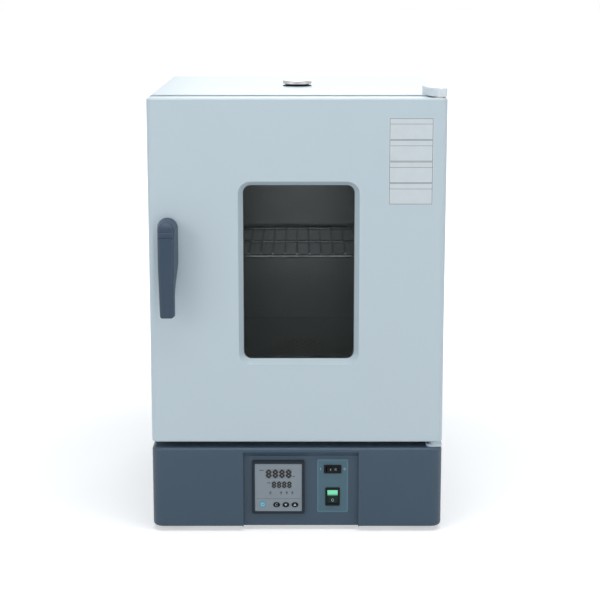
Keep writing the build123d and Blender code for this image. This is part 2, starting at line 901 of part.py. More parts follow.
power_rocker_body = (21.0, 27.0)
power_rocker_bezel = (24.5, 31.7)
fan_rocker_body = (26.0, 11.5)
fan_rocker_bezel = (29.5, 14.6)
rocker_wall = 1.6
rocker_bezel_proud = 2.2
label_sheet = 0.6
switch_front = panel_y - label_sheet - rocker_bezel_proud
rocker_pivot_depth = 5.0
trunnion_radius = 1.5
trunnion_length = 1.0


def rocker_cutouts():
    """Holes for the two rocker switches, seen from the front."""
    switches = ((power_rocker_middle, power_rocker_body), (fan_rocker_middle, fan_rocker_body))
    return [Pos(switch_label_centre, base_z + middle) * Rectangle(*size) for middle, size in switches]


def switch_plate():
    outline = Pos(switch_label_centre, base_z + switch_label_middle) * RectangleRounded(
        switch_label_width, switch_label_height, 3
    )
    sheet = slab(outline, panel_y - label_sheet, panel_y)
    for hole in rocker_cutouts():
        sheet -= slab(hole, panel_y - 5, panel_y + 1)
    return sheet


def rocker_frame(body, bezel):
    """Switch housing about its own centre, front towards -Y, long side along Z when size is tall."""
    y_back = switch_front + rocker_bezel_proud + label_sheet + 22
    bw, bh = bezel
    rim = slab(RectangleRounded(bw, bh, 1.5), switch_front, switch_front + rocker_bezel_proud)
    rim = fillet(rim.faces().sort_by(Axis.Y)[0].edges(), 0.8)
    case = slab(Rectangle(body[0] - 0.2, body[1] - 0.2), switch_front + rocker_bezel_proud, y_back)
    well = Rectangle(body[0] - 2 * rocker_wall, body[1] - 2 * rocker_wall)
    housing = rim + case - slab(well, switch_front - 1, y_back - 6)
    for k in (-1, 1):
        lug = slab(Pos(0, k * body[1] / 5) * Rectangle(4.8, 0.8), y_back, y_back + 7)
        housing += lug
    return housing


def rocker_paddle(across, along):
    """Paddle about its pivot, long side along Z, front towards -Y: a shallow V between two round ends."""
    end = along / 2
    crest = rocker_pivot_depth + 2.6
    dip = rocker_pivot_depth + 0.4
    outline = [(-crest, end - 1.2), (-crest + 1.2, end - 0.1), (3, end - 1.4), (5, 4), (5, -4)]
    outline += [(3, -end + 1.4), (-crest + 1.2, -end + 0.1), (-crest, -end + 1.2), (-dip, 0)]
    paddle = side_profile(outline, -across / 2, across / 2)
    pivot = Rot(0, 90, 0) * Cylinder(trunnion_radius, across + 2 * trunnion_length)
    return paddle + pivot


def rocker_parts(body, bezel, tall):
    """Housing and paddle of one switch, both about the switch's centre at depth zero of the paddle pivot."""
    if not tall:
        body = (body[1], body[0])
        bezel = (bezel[1], bezel[0])
    housing = rocker_frame(body, bezel)
    across = body[0] - 2 * rocker_wall - 0.5
    along = body[1] - 2 * rocker_wall - 1.6
    pivot_y = switch_front + rocker_pivot_depth
    bore = Cylinder(trunnion_radius + running, across + 2 * trunnion_length + slip)
    hole = Pos(0, pivot_y, 0) * Rot(0, 90, 0) * bore
    paddle = Pos(0, pivot_y, 0) * Rot(-rocker_swing / 2, 0, 0) * rocker_paddle(across, along)
    turn = Rot(0, 0, 0) if tall else Rot(0, 90, 0)
    return turn * (housing - hole), turn * paddle


def switch_parts(middle, body, bezel, tall):
    housing, paddle = rocker_parts(body, bezel, tall)
    place = Pos(switch_label_centre, 0, base_z + middle)
    return place * housing, place * paddle


# Electrical parts inside the base

relay_inset = 105.0          # relay's middle in from the right side
relay_setback = 10.0         # behind the fan shaft
sink_half_width = 30.0
sink_half_depth = 40.0
sink_base = 6.0
sink_height = 22.0
sink_fin = 2.0
sink_fins = 9
relay_half_width = 22.0
relay_half_depth = 29.0
relay_height = 22.0
terminal_half = 6.0
terminal_depth = 6.0


def solid_state_relay():
    """Relay block on a finned heat sink, with a screw terminal pocket in each corner."""
    z0 = base_z + 2 * case_sheet
    w, d = sink_half_width, sink_half_depth
    sink = block(-w, w, -d, d, z0, z0 + sink_base)
    pitch = (2 * w - sink_fin) / (sink_fins - 1)
    for k in range(sink_fins):
        x = -w + k * pitch
        sink += block(x, x + sink_fin, -d, d, z0 + sink_base, z0 + sink_height)
    top = z0 + sink_height + relay_height
    relay = block(
        -relay_half_width, relay_half_width, -relay_half_depth, relay_half_depth, z0 + sink_height, top
    )
    t = terminal_half
    for x in (-relay_half_width / 2, relay_half_width / 2):
        for side in (-1, 1):
            y0, y1 = sorted((side * (relay_half_depth + 1), side * (relay_half_depth - 2 * t)))
            relay -= block(x - t, x + t, y0, y1, top - terminal_depth, top + 1)
    return Pos(half - relay_inset, fan_y + relay_setback, 0) * (sink + relay)


# Rear fittings of the base

inlet_size = (27.0, 19.5)
inlet_depth = 26.0
inlet_wall = 1.5
blade_size = (2.0, 4.0)
fuse_length = 34.0
fuse_cap_radius = 9.0
fuse_cap_height = 13.0


def inlet_body_outline():
    return RectangleRounded(*inlet_size, 2.5)


def power_inlet():
    """Three-pin appliance inlet: flange, deep socket and three blades."""
    w, h = inlet_size
    end = inlet_screw_reach + 5
    flange = slab(RectangleRounded(2 * end, h + 4.5, 4), back_y, back_y + inlet_flange)
    shell = flange + slab(inlet_body_outline(), back_y - inlet_depth, back_y)
    socket = RectangleRounded(w - 2 * inlet_wall, h - 2 * inlet_wall, 3)
    shell -= slab(socket, back_y - inlet_depth + 6, back_y + 5)
    blades = Sketch() + [Pos(x, z) * Rectangle(*blade_size) for x, z in ((-7, -2), (7, -2), (0, 2))]
    shell += slab(blades, back_y - inlet_depth + 5.5, back_y - 4)
    for side in (-1, 1):
        shell -= bar(side * inlet_screw_reach, 0, back_y - 1, back_y + 5, inlet_screw_radius)
    return Pos(inlet_x, 0, inlet_z) * shell


def fuse_holder():
    """Bayonet cap with a coin slot on a threaded stem."""
    top = fuse_cap_height
    grip = fuse_cap_radius - 2
    cap = turned([
        (0, 0),
        (fuse_cap_radius, 0),
        (fuse_cap_radius, 4),
        (grip, 6),
        (grip, top - 1),
        (grip - 1, top),
        (0, top),
    ])
    cap -= block(-fuse_cap_radius, fuse_cap_radius, -0.8, 0.8, top - 1.5, top + 1)
    tail = fuse_radius - 1.5
    shoulder = 6 - fuse_length
    stem = turned([
        (0, -fuse_length),
        (tail, -fuse_length),
        (tail, shoulder),
        (fuse_radius, shoulder),
        (fuse_radius, 0),
        (0, 0),
    ])
    return Pos(fuse_x, back_y, inlet_z) * Rot(-90, 0, 0) * (cap + stem)


# Vent on the top face

vent_hole_count = 8
vent_hole_ring = 15.0
vent_hole_radius = 2.4
vent_pivot_radius = 2.5
vent_cap_sheet = 1.2
vent_seat_plate = 1.6
vent_rim = 4.0
vent_seat = vent_height - 5.4     # top of the fixed plate above the case


def vent_holes(z0, z1):
    sketch = Sketch() + [
        Rot(0, 0, k * 360 / vent_hole_count) * Pos(vent_hole_ring, 0) * Circle(vent_hole_radius)
        for k in range(vent_hole_count)
    ]
    sketch += [
        Rot(0, 0, k * 90) * Pos(vent_hole_ring / 2 + 0.5, 0) * Circle(vent_hole_radius) for k in range(4)
    ]
    return plate(sketch, z0, z1)


def vent_pipe():
    """Pipe from the chamber ceiling to the top face, with a flange and a fixed perforated plate."""
    length = top_z - ceiling_z
    pipe = turned([
        (vent_bore, -length),
        (vent_tube_radius, -length),
        (vent_tube_radius, 0),
        (vent_radius, 0),
        (vent_radius, 1.2),
        (vent_radius - vent_rim, 1.2),
        (vent_radius - vent_rim, vent_seat),
        (vent_pivot_radius + running, vent_seat),
        (vent_pivot_radius + running, vent_seat - vent_seat_plate),
        (vent_bore, vent_seat - vent_seat_plate),
    ])
    pipe -= vent_holes(vent_seat - 3, vent_seat + 1)
    return Pos(0, vent_y, top_z) * pipe


def vent_cap():
    """Turning cap with the same holes as the plate under it, and a rivet that holds it down."""
    seat = vent_seat
    under = seat - vent_seat_plate - 0.4
    cap = turned([
        (0, under - 2),
        (vent_pivot_radius + 2, under - 2),
        (vent_pivot_radius + 2, under),
        (vent_pivot_radius, under),
        (vent_pivot_radius, seat + slip),
        (vent_radius - vent_rim, seat + slip),
        (vent_radius - vent_rim + 1, seat - 0.6),
        (vent_radius, seat - 0.6),
        (vent_radius, vent_height - 1.4),
        (vent_radius - 1.4, vent_height),
        (0, vent_height),
    ])
    cap -= turned([
        (vent_pivot_radius + 3, seat + 1.0),
        (vent_radius - 2.4, seat + 1.0),
        (vent_radius - 2.4, vent_height - vent_cap_sheet),
        (vent_pivot_radius + 3, vent_height - vent_cap_sheet),
    ])
    cap -= vent_holes(seat, vent_height + 1)
    return Pos(0, vent_y, top_z) * cap


# Hinges

upper_screw_radius = 2.0
upper_screw_spots = [
    (half - 20, cab_y + 8),
    (half - 20, cab_y + 30),
    (half - 9, cab_y + 19),
]
lower_screw_radius = 2.0
lower_screw_spots = [
    (half - 18, door_y + 28),
    (half - 18, door_y + 42),
    (half - 8, door_y + 35),
]


def cover_plan(inset):
    """Hinge cover seen from above: straight right side, elliptical sweep at the front left."""
    x1 = half - inset
    x0 = half - cover_width + inset
    y0 = door_y + 4 + inset
    y1 = door_y + 4 + cover_length - inset
    sweep_x = cover_width - 2 * inset - 9
    sweep_y = cover_length - 2 * inset - 14
    r = cover_corner
    k = r * (1 - math.sqrt(0.5))
    edge = [
        Line((x1 - r, y1), (x0 + r, y1)),
        ThreePointArc((x0 + r, y1), (x0 + k, y1 - k), (x0, y1 - r)),
        Line((x0, y1 - r), (x0, y0 + sweep_y)),
        EllipticalCenterArc((x0 + sweep_x, y0 + sweep_y), sweep_x, sweep_y, 180, arc_size=90),
        Line((x0 + sweep_x, y0), (x1 - r, y0)),
        ThreePointArc((x1 - r, y0), (x1 - k, y0 + k), (x1, y0 + r)),
        Line((x1, y0 + r), (x1, y1 - r)),
        ThreePointArc((x1, y1 - r), (x1 - k, y1 - k), (x1 - r, y1)),
    ]
    return make_face(Wire(edge))


def hinge_cover():
    body = plate(cover_plan(0.5), top_z, top_z + cover_height)
    body = fillet(body.faces().sort_by(Axis.Z)[-1].edges(), 3.0)
    return body - plate(cover_plan(0.5 + cover_sheet), top_z - 1, top_z + cover_height - cover_sheet)


def upper_hinge():
    """Bracket on the top face that reaches over the door and carries the pin."""
    bracket = plate(cover_plan(2.6), top_z, top_z + bracket_thickness)
    for x, y in upper_screw_spots:
        bracket -= post(x, y, top_z - 1, top_z + 9, upper_screw_radius)
    pin = post(pin_x, pin_y, door_z1 - bush_length + 3, top_z + bracket_thickness + 2, pin_radius)
    return bracket + pin


def upper_hinge_screws():
    screw = pan_screw(upper_screw_radius, 4.0, 2.6, 12)
    return group([Pos(x, y, top_z + bracket_thickness) * screw for x, y in upper_screw_spots])


def lower_hinge():
    """Plate on the deck under the door's right corner, with the pin that the door stands on."""
    x0 = half - 27
    outline = Pos((x0 + half) / 2, door_y + 25.5) * Rectangle(half - x0, 47)
    outline = fillet(outline.vertices().group_by(Axis.Y)[0], 9)
    bracket = plate(outline, deck_z, deck_z + lower_plate)
    for x, y in lower_screw_spots:
        bracket -= post(x, y, deck_z - 1, deck_z + 9, lower_screw_radius)
    collar = post(pin_x, pin_y, deck_z + lower_plate, door_z0 - bush_flange - running, bush_radius + 2)
    pin = post(pin_x, pin_y, deck_z, door_z0 + bush_length - 3, pin_radius)
    return bracket + collar + pin


def lower_hinge_screws():
    screw = pan_screw(lower_screw_radius, 3.6, 2.2, 9)
    return group([Pos(x, y, deck_z + lower_plate) * screw for x, y in lower_screw_spots])


def hinge_bush(end_z, inward):
    """Flanged bush in the door's end, flange outside, running on its hinge pin."""
    z0, z1 = sorted((end_z, end_z + inward * bush_length))
    f0, f1 = sorted((end_z, end_z - inward * bush_flange))
    tube = post(pin_x, pin_y, z0, z1, bush_radius) + post(pin_x, pin_y, f0, f1, bush_radius + 2)
    return tube - post(pin_x, pin_y, z0 - 5, z1 + 5, pin_radius + running)


# Door

def door_block(inset):
    """Outline of the door, moved in by inset on every side but the back."""
    body = block(
        -half + inset, half - inset, door_y + inset, door_back, door_z0 + inset, door_z1 - inset
    )
    uprights = body.edges().filter_by(Axis.Z).group_by(Axis.Y)[0]
    body = fillet(uprights, door_edge_radius - inset)
    rims = body.faces().sort_by(Axis.Y)[0].edges()
    rims = [e for e in rims if abs((e @ 0.5).Z - window_z) > cabinet_height / 4]
    return fillet(rims, door_rim_radius - inset)


def window_outline(grow, radius):
    w = window_width / 2 + grow
    h = window_height / 2 + grow
    return rounded(window_centre - w, window_centre + w, window_z - h, window_z + h, radius)


def window_funnel(grow):
    """Tapered opening from the door's front down to the glass."""
    wide = facing(door_y) * window_outline(bevel_width + grow, window_radius + bevel_width + grow)
    narrow = facing(door_y + bevel_depth) * window_outline(grow, window_radius + grow)
    return loft([wide, narrow])


def window_well(grow, y0, y1):
    return slab(window_outline(grow, window_radius + grow), y0, y1)


seal_y = door_y + bevel_depth
glass_y = seal_y + seal_thickness
tunnel_y = glass_y + glass_thickness
liner_y = door_back - liner_sheet
inner_glass_y = liner_y - glass_thickness
spindle_bush_radius = spindle_radius + running + spindle_bush_wall


def hinge_sockets():
    """Holes for the two hinge bushes in the ends of the door."""
    lower = post(pin_x, pin_y, door_z0 - 1, door_z0 + bush_length, bush_radius)
    upper = post(pin_x, pin_y, door_z1 - bush_length, door_z1 + 1, bush_radius)
    return lower + upper


def door_skin():
    tray = door_block(0) - door_block(case_sheet)
    skin = tray + window_funnel(1.6 * case_sheet)
    skin -= window_funnel(0)
    skin -= hinge_sockets()
    return skin - bar(handle_x, handle_z, door_y - 1, door_back + 1, spindle_bush_radius)


def door_insulation():
    wool = door_block(case_sheet)
    wool -= block(-half, half, liner_y, door_back + 1, door_z0, door_z1)
    wool -= window_funnel(1.6 * case_sheet)
    wool -= window_well(glass_lap, seal_y, liner_y)
    wool -= hinge_sockets()
    return wool - bar(handle_x, handle_z, door_y - 1, door_back + 1, spindle_bush_radius)


def door_liner():
    """Inner pan of the door: a flat sheet inside the skin's edges, with the inner window opening."""
    edge = case_sheet
    liner = slab(
        rounded(-half + edge, half - edge, door_z0 + edge, door_z1 - edge, door_rim_radius - edge),
        liner_y,
        door_back,
    )
    liner -= window_well(0, liner_y - 1, door_back + 1)
    return liner - bar(handle_x, handle_z, door_y - 1, door_back + 1, spindle_bush_radius)


def window_seal():
    return window_well(glass_lap, seal_y, glass_y) - window_well(0, seal_y - 1, glass_y + 1)


def outer_glass():
    return window_well(glass_lap, glass_y, tunnel_y)


def glass_spacer():
    """Rectangular tunnel that holds the two panes apart."""
    return window_well(glass_lap, tunnel_y, inner_glass_y) - window_well(1, tunnel_y - 1, inner_glass_y + 1)


def inner_glass():
    return window_well(glass_lap, inner_glass_y, inner_glass_y + glass_thickness)


trim_width = 14.0
trim_sheet = 1.0


def window_trim():
    ring = window_well(trim_width, door_back, door_back + trim_sheet)
    return ring - window_well(0, door_back - 1, door_back + 5)


def door_gasket():
    """Silicone ring with a round crown that closes on the front frame round the chamber mouth."""
    outline = mouth_outline(gasket_gap + gasket_width) - mouth_outline(gasket_gap)
    seal = slab(outline, door_back, cab_y - slip)
    crown = seal.faces().sort_by(Axis.Y)[-1].edges()
    return fillet(crown, 1.6)


# Handle and latch

spindle_grip = 24.0          # spindle inside the lever


def spindle_bush():
    """Flanged nylon bush through the door for the handle's spindle."""
    tube = bar(handle_x, handle_z, door_y, door_back, spindle_bush_radius)
    tube += bar(handle_x, handle_z, door_y - 1.0, door_y, hub_radius - 4)
    return tube - bar(handle_x, handle_z, door_y - 5, door_back + 5, spindle_radius + running)


def handle_side():
    """Side view of the handle about its pivot: foot on the door, bulging grip, free lower end."""
    back = -1.0 - slip
    tip = -handle_length
    reach = -handle_reach
    foot_end = -0.38 * handle_length
    grip_back = reach + 19
    edge = [
        Line((back, hub_radius + 2), (back, foot_end)),
        Spline(
            [(back, foot_end), (grip_back, 0.68 * tip), (grip_back + 3, tip + 2)],
            tangents=[(-0.55, -1), (0.05, -1)],
        ),
        Line((grip_back + 3, tip + 2), (grip_back + 1, tip)),
        Line((grip_back + 1, tip), (reach + 9, tip)),
        Line((reach + 9, tip), (reach + 6, tip + 3)),
        Spline(
            [(reach + 6, tip + 3), (reach, 0.5 * tip), (reach + 9, 2), (reach + 24, hub_radius + 2)],
            tangents=[(-0.1, 1), (0, 1), (0.25, 1), (1.0, 0.5)],
        ),
        Line((reach + 24, hub_radius + 2), (back, hub_radius + 2)),
    ]
    plane = Plane(origin=(-hub_radius - 1, 0, 0), x_dir=(0, 1, 0), z_dir=(1, 0, 0))
    return extrude(plane * make_face(Wire(edge)), amount=2 * hub_radius + 2)


def handle_front():
    """Front view of the handle, narrowing away from the door."""
    tip_half = hub_radius - 2.2
    tip = -handle_length
    edge = [
        ThreePointArc((-hub_radius, 0), (0, hub_radius), (hub_radius, 0)),
        Line((hub_radius, 0), (hub_radius, 0.4 * tip)),
        Line((hub_radius, 0.4 * tip), (tip_half, tip)),
        Line((tip_half, tip), (-tip_half, tip)),
        Line((-tip_half, tip), (-hub_radius, 0.4 * tip)),
        Line((-hub_radius, 0.4 * tip), (-hub_radius, 0)),
    ]
    return extrude(facing(0) * make_face(Wire(edge)), amount=handle_reach + 2, taper=handle_draft)


def handle_lever():
    lever = handle_side() & handle_front()
    front = [e for e in lever.edges() if (e @ 0.5).Y < -handle_reach + 17 and abs((e @ 0.5).X) > 5]
    lever = fillet(front, 4.5)
    for z in (-1.8, -11.6):
        groove = Pos(0, -handle_reach + 6.6 + 0.12 * z, z) * Rot(0, 90, 0) * Cylinder(2.2, 3 * hub_radius)
        lever -= groove
    lever -= bar(0, 0, -spindle_grip, 5, spindle_radius)
    return Pos(handle_x, door_y, handle_z) * lever


cam_y = cab_y + 2.0
keeper_half = 13.0


def handle_spindle():
    return bar(handle_x, handle_z, door_y - spindle_grip, cam_y + cam_thickness + 4, spindle_radius)


def latch_cam():
    oval = Pos(handle_x, handle_z) * (Ellipse(cam_long / 2, cam_short / 2) - Circle(spindle_radius))
    return slab(oval, cam_y, cam_y + cam_thickness)


def latch_keeper():
    """Spring strip bent to a U, mouth to the front, whose leaves lean out towards the mouth."""
    inner = cam_long / 2 + slip
    back = cab_y + pocket_depth
    bend = cam_y + cam_thickness
    mouth = cab_y + 0.5
    t = leaf_thickness
    half_inside = [(inner, back - t), (inner, bend), (inner + leaf_flare, mouth)]
    half_outside = [(inner + leaf_flare + t, mouth), (inner + t, bend), (inner + t, back)]
    right = half_inside + half_outside
    left = [(-x, y) for x, y in reversed(right)]
    outline = Polygon(*right, *left, align=None)
    return plate(Pos(handle_x, 0) * outline, handle_z - keeper_half, handle_z + keeper_half)


def main():
    power_body, power_paddle = switch_parts(power_rocker_middle, power_rocker_body, power_rocker_bezel, True)
    fan_body, fan_paddle = switch_parts(fan_rocker_middle, fan_rocker_body, fan_rocker_bezel, False)
    parts = {
        "outer_case": outer_case(),
        "back_panel": back_panel(),
        "case_screws": case_screws(),
        "front_frame": front_frame(),
        "inner_chamber": inner_chamber(),
        "insulation": insulation(),
        "chamber_floor": chamber_floor(),
        "shelf_strips": shelf_strips(),
        "shelf_clips": shelf_clips(),
        "lower_shelf": wire_shelf(shelf_levels[0]),
        "upper_shelf": wire_shelf(shelf_levels[1]),
        "heaters": group([heater(pair) for pair in heater_spots]),
        "temperature_probe": temperature_probe(),
        "nitrogen_inlet": nitrogen_inlet(),
        "nitrogen_pipe": nitrogen_pipe(),
        "fan_impeller": fan_impeller(),
        "fan_shaft": fan_shaft(),
        "fan_motor": fan_motor(),
        "motor_bracket": motor_bracket(),
        "base_shell": base_shell(),
        "base_floor": base_floor(),
        "feet": feet(),
        "control_panel": control_panel(),
        "controller_bezel": controller_bezel(),
        "controller_face": controller_face(),
        "controller_body": controller_body(),
        "displays": group([controller_display(name) for name in display_specs]),
        "switch_plate": switch_plate(),
        "power_switch_body": power_body,
        "power_rocker": power_paddle,
        "fan_switch_body": fan_body,
        "fan_rocker": fan_paddle,
        "solid_state_relay": solid_state_relay(),
        "power_inlet": power_inlet(),
        "fuse_holder": fuse_holder(),
        "vent_pipe": vent_pipe(),
        "vent_cap": vent_cap(),
        "hinge_cover": hinge_cover(),
        "upper_hinge": upper_hinge(),
        "lower_hinge": lower_hinge(),
        "hinge_screws": group([upper_hinge_screws(), lower_hinge_screws()]),
        "hinge_bushes": group([hinge_bush(door_z0, 1), hinge_bush(door_z1, -1)]),
        "door_skin": door_skin(),
        "door_insulation": door_insulation(),
        "door_liner": door_liner(),
        "window_seal": window_seal(),
        "outer_glass": outer_glass(),
        "glass_spacer": glass_spacer(),
        "inner_glass": inner_glass(),
        "window_trim": window_trim(),
        "door_gasket": door_gasket(),
        "spindle_bush": spindle_bush(),
        "handle_lever": handle_lever(),
        "handle_spindle": handle_spindle(),
        "latch_cam": latch_cam(),
        "latch_keeper": latch_keeper(),
    }
    for name in key_specs:
        parts[name] = controller_key(name)
    os.makedirs("parts", exist_ok=True)
    for name, part in parts.items():
        export_step(part, f"parts/{name}.step")
    print(len(parts), "parts")


main()
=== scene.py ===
# %% [markdown]
# # A bench drying oven, dressed for its portrait
#
# The oven's body, door, latch, fan and switches come in as finished solids, with every hinge in place.
# This lesson gives them light, a camera and finishes, and adds the small things that a solid model leaves
# out: printed marks, screw heads with a cross recess, lamps, digits and a card on the door.
#
# Each step starts with a note like this one. It says what the piece is on a real oven, how it could be
# made, and why this way was picked.

# %% Bring in the frame
import json
import math

import bmesh
import bpy
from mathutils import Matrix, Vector
from mathutils.bvhtree import BVHTree


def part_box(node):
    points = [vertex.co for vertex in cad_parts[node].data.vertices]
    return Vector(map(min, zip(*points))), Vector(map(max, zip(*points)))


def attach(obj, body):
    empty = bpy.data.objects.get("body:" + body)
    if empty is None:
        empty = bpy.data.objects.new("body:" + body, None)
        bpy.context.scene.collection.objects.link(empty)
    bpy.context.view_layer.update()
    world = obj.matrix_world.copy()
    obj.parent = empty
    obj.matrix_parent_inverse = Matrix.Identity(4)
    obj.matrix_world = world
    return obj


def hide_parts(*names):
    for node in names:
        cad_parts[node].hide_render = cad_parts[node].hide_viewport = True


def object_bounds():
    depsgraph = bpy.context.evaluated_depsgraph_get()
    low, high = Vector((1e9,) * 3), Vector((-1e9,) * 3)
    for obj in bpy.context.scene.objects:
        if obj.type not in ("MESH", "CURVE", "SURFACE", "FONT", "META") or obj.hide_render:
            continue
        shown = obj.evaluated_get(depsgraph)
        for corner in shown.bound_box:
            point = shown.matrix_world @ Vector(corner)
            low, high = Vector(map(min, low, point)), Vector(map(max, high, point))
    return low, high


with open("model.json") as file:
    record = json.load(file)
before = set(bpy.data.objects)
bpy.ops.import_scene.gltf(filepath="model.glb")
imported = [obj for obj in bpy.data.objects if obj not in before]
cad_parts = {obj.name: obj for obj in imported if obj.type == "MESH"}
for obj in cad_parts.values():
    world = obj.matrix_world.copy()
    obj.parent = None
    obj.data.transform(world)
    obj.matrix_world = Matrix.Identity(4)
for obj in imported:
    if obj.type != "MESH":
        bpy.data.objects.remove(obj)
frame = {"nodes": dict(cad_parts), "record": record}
nodes = frame["nodes"]
solid_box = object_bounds()
mm = 0.001
print(len(nodes), "solids, box", [round(c, 4) for c in (*solid_box[0], *solid_box[1])])

# %% [markdown]
# ## Where the camera stands
#
# The picture is taken from the front, with the camera a little higher than the oven's top, so that a thin
# band of the top shows. The lens could be a wide one close by, but then the near edges would look much
# larger than the far ones; a long lens two and a half metres away keeps the shape calm. The camera looks
# down by about ten degrees, which draws the upright edges together a little towards the feet. A small
# shift of the lens sets how high the oven stands in the frame.

# %% The camera
door_low, door_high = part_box("door_skin")
lens_mm = 92.6
lens_shift = -0.06
camera_side = 0.005
camera_back = 2.504
camera_height = 0.926
camera_tilt = 10.51

camera_data = bpy.data.cameras.new("portrait")
camera_data.lens = lens_mm
camera_data.sensor_width = 36.0
camera_data.shift_y = lens_shift
camera = bpy.data.objects.new("portrait", camera_data)
bpy.context.scene.collection.objects.link(camera)
camera.location = (camera_side, door_low.y - camera_back, camera_height)
camera.rotation_euler = (math.radians(90 - camera_tilt), 0, 0)
bpy.context.scene.camera = camera
print("camera", [round(c, 3) for c in camera.location], "lens", lens_mm)

# %% [markdown]
# ## Sockets that can be added up
#
# A material is a graph of nodes. Written node by node it hides its own sums, so a small class wraps one
# output of a node and lets Python's signs work on it: `1 - scratches * 0.3` adds the two Math nodes by
# itself. Any other node comes from `make`, which takes the node's type, its settings and what goes into
# its sockets.

# %% The socket class
class Wire:
    """One output of a shader node."""

    def __init__(self, tree, output):
        self.tree = tree
        self.output = output

    def make(self, kind, settings=None, sockets=None, out=0):
        """Any node in the same tree: settings first, then values or wires for its sockets."""
        node = self.tree.nodes.new(kind)
        for key, value in (settings or {}).items():
            if key == "stops":
                set_stops(node.color_ramp, value)
            else:
                setattr(node, key, value)
        for key, value in (sockets or {}).items():
            if isinstance(value, Wire):
                self.tree.links.new(value.output, node.inputs[key])
            else:
                node.inputs[key].default_value = value
        return Wire(self.tree, node.outputs[out])

    def maths(self, operation, first, second):
        return self.make("ShaderNodeMath", {"operation": operation}, {0: first, 1: second})

    def __add__(self, other):
        return self.maths("ADD", self, other)

    def __radd__(self, other):
        return self.maths("ADD", other, self)

    def __sub__(self, other):
        return self.maths("SUBTRACT", self, other)

    def __rsub__(self, other):
        return self.maths("SUBTRACT", other, self)

    def __mul__(self, other):
        return self.maths("MULTIPLY", self, other)

    def __rmul__(self, other):
        return self.maths("MULTIPLY", other, self)

    def above(self, level):
        return self.maths("GREATER_THAN", self, level)


def set_stops(ramp, stops):
    """Gives a colour ramp its stops: (place, colour) in order."""
    while len(ramp.elements) > 1:
        ramp.elements.remove(ramp.elements[-1])
    for k, (place, colour) in enumerate(stops):
        element = ramp.elements[0] if k == 0 else ramp.elements.new(place)
        element.position = place
        element.color = (*colour, 1.0)


def colour(red, green, blue):
    """A colour as a painter reads it off a screen, 0 to 255, turned into light values."""
    steps = (red / 255, green / 255, blue / 255)
    return tuple(c / 12.92 if c <= 0.04045 else ((c + 0.055) / 1.055) ** 2.4 for c in steps)


print("screen grey 128 is", round(colour(128, 128, 128)[0], 3), "of full light")

# %% [markdown]
# Every finish starts and ends the same way: coordinates go in, a shader comes out. Object coordinates are
# in metres here, because each piece sits at the origin with its place in its mesh, so a grain of 0.4 mm
# is simply a noise of scale 1 / 0.0004 and is the same size on every piece.

# %% Starting and closing a finish
finishes = {}


def start(name):
    """A new finish, given as the wire of its Object coordinates."""
    material = bpy.data.materials.new(name)
    material.use_nodes = True
    material.node_tree.nodes.clear()
    finishes[name] = material
    node = material.node_tree.nodes.new("ShaderNodeTexCoord")
    return Wire(material.node_tree, node.outputs["Object"])


def close(place, shader):
    """Joins the shader to the finish's output."""
    node = place.tree.nodes.new("ShaderNodeOutputMaterial")
    place.tree.links.new(shader.output, node.inputs["Surface"])


def noise(place, size, detail=2.0, squash=(1, 1, 1)):
    """Noise with blobs about as large as size, pressed or drawn out by squash."""
    at = place.make("ShaderNodeMapping", {}, {"Vector": place, "Scale": squash})
    return place.make("ShaderNodeTexNoise", {}, {"Vector": at, "Scale": 1 / size, "Detail": detail})


def blend(share, low, high):
    """Colour between two colours."""
    sockets = {0: share, 6: as_rgba(low), 7: as_rgba(high)}
    return share.make("ShaderNodeMix", {"data_type": "RGBA"}, sockets, out=2)


def as_rgba(value):
    return value if isinstance(value, Wire) else (*value, 1.0)


def shade(value, factor):
    return tuple(c * factor for c in value)


def bump(place, height, depth, strength=1.0):
    """Surface detail of the given depth in metres."""
    sockets = {"Height": height, "Distance": depth, "Strength": strength}
    return place.make("ShaderNodeBump", {}, sockets)


print("finishes so far:", len(finishes))

# %% [markdown]
# ## Powder coat
#
# The case and the base are sheet steel with a baked powder coat. Close up such a coat has a fine orange
# peel, dips about a millimetre across and a few hundredths deep, and the colour drifts very slightly from
# sheet to sheet. A flat colour would look like paper, so two noises do the work: a fine one for the peel
# and a wide one for the drift.

# %% Powder coat in two colours
def powder_coat(name, tint, drift):
    place = start(name)
    peel = noise(place, 1.4 * mm, 2.0)
    wide = noise(place, 160 * mm, 2.0)
    dust = noise(place, 9 * mm, 4.0)
    paint = blend(wide, shade(tint, 1 - drift), shade(tint, 1 + drift))
    shader = place.make("ShaderNodeBsdfPrincipled", {}, {
        "Base Color": paint,
        "Roughness": 0.34 + dust * 0.14,
        "Normal": bump(place, peel, 0.03 * mm, 0.5),
        "Specular IOR Level": 0.45,
    })
    close(place, shader)


powder_coat("case_paint", colour(197, 212, 220), 0.012)
powder_coat("base_paint", colour(57, 77, 94), 0.03)
print("powder coats:", sorted(finishes))

# %% [markdown]
# ## Sheet metal and wire
#
# The chamber is brushed stainless sheet. Brushing leaves fine scratches that all run one way, which a
# noise gives once it is drawn out along that way. Zinc plate isn't brushed: its noise isn't drawn out, and
# it has stronger cloudy patches. Bright wire is almost a mirror. One function serves them all, with the
# grain's stretch as its input.

# %% Metals
def metal(name, tint, rough, grain, squash, depth, cloud=0.12):
    place = start(name)
    lines = noise(place, grain, 3.0, squash)
    patches = noise(place, 22 * mm, 3.0)
    worn = blend(patches, shade(tint, 1 - cloud), tint)
    shader = place.make("ShaderNodeBsdfPrincipled", {}, {
        "Base Color": blend(lines * 0.5, worn, shade(tint, 0.8)),
        "Metallic": 1.0,
        "Roughness": rough + lines * 0.16,
        "Normal": bump(place, lines, depth, 0.6),
    })
    close(place, shader)


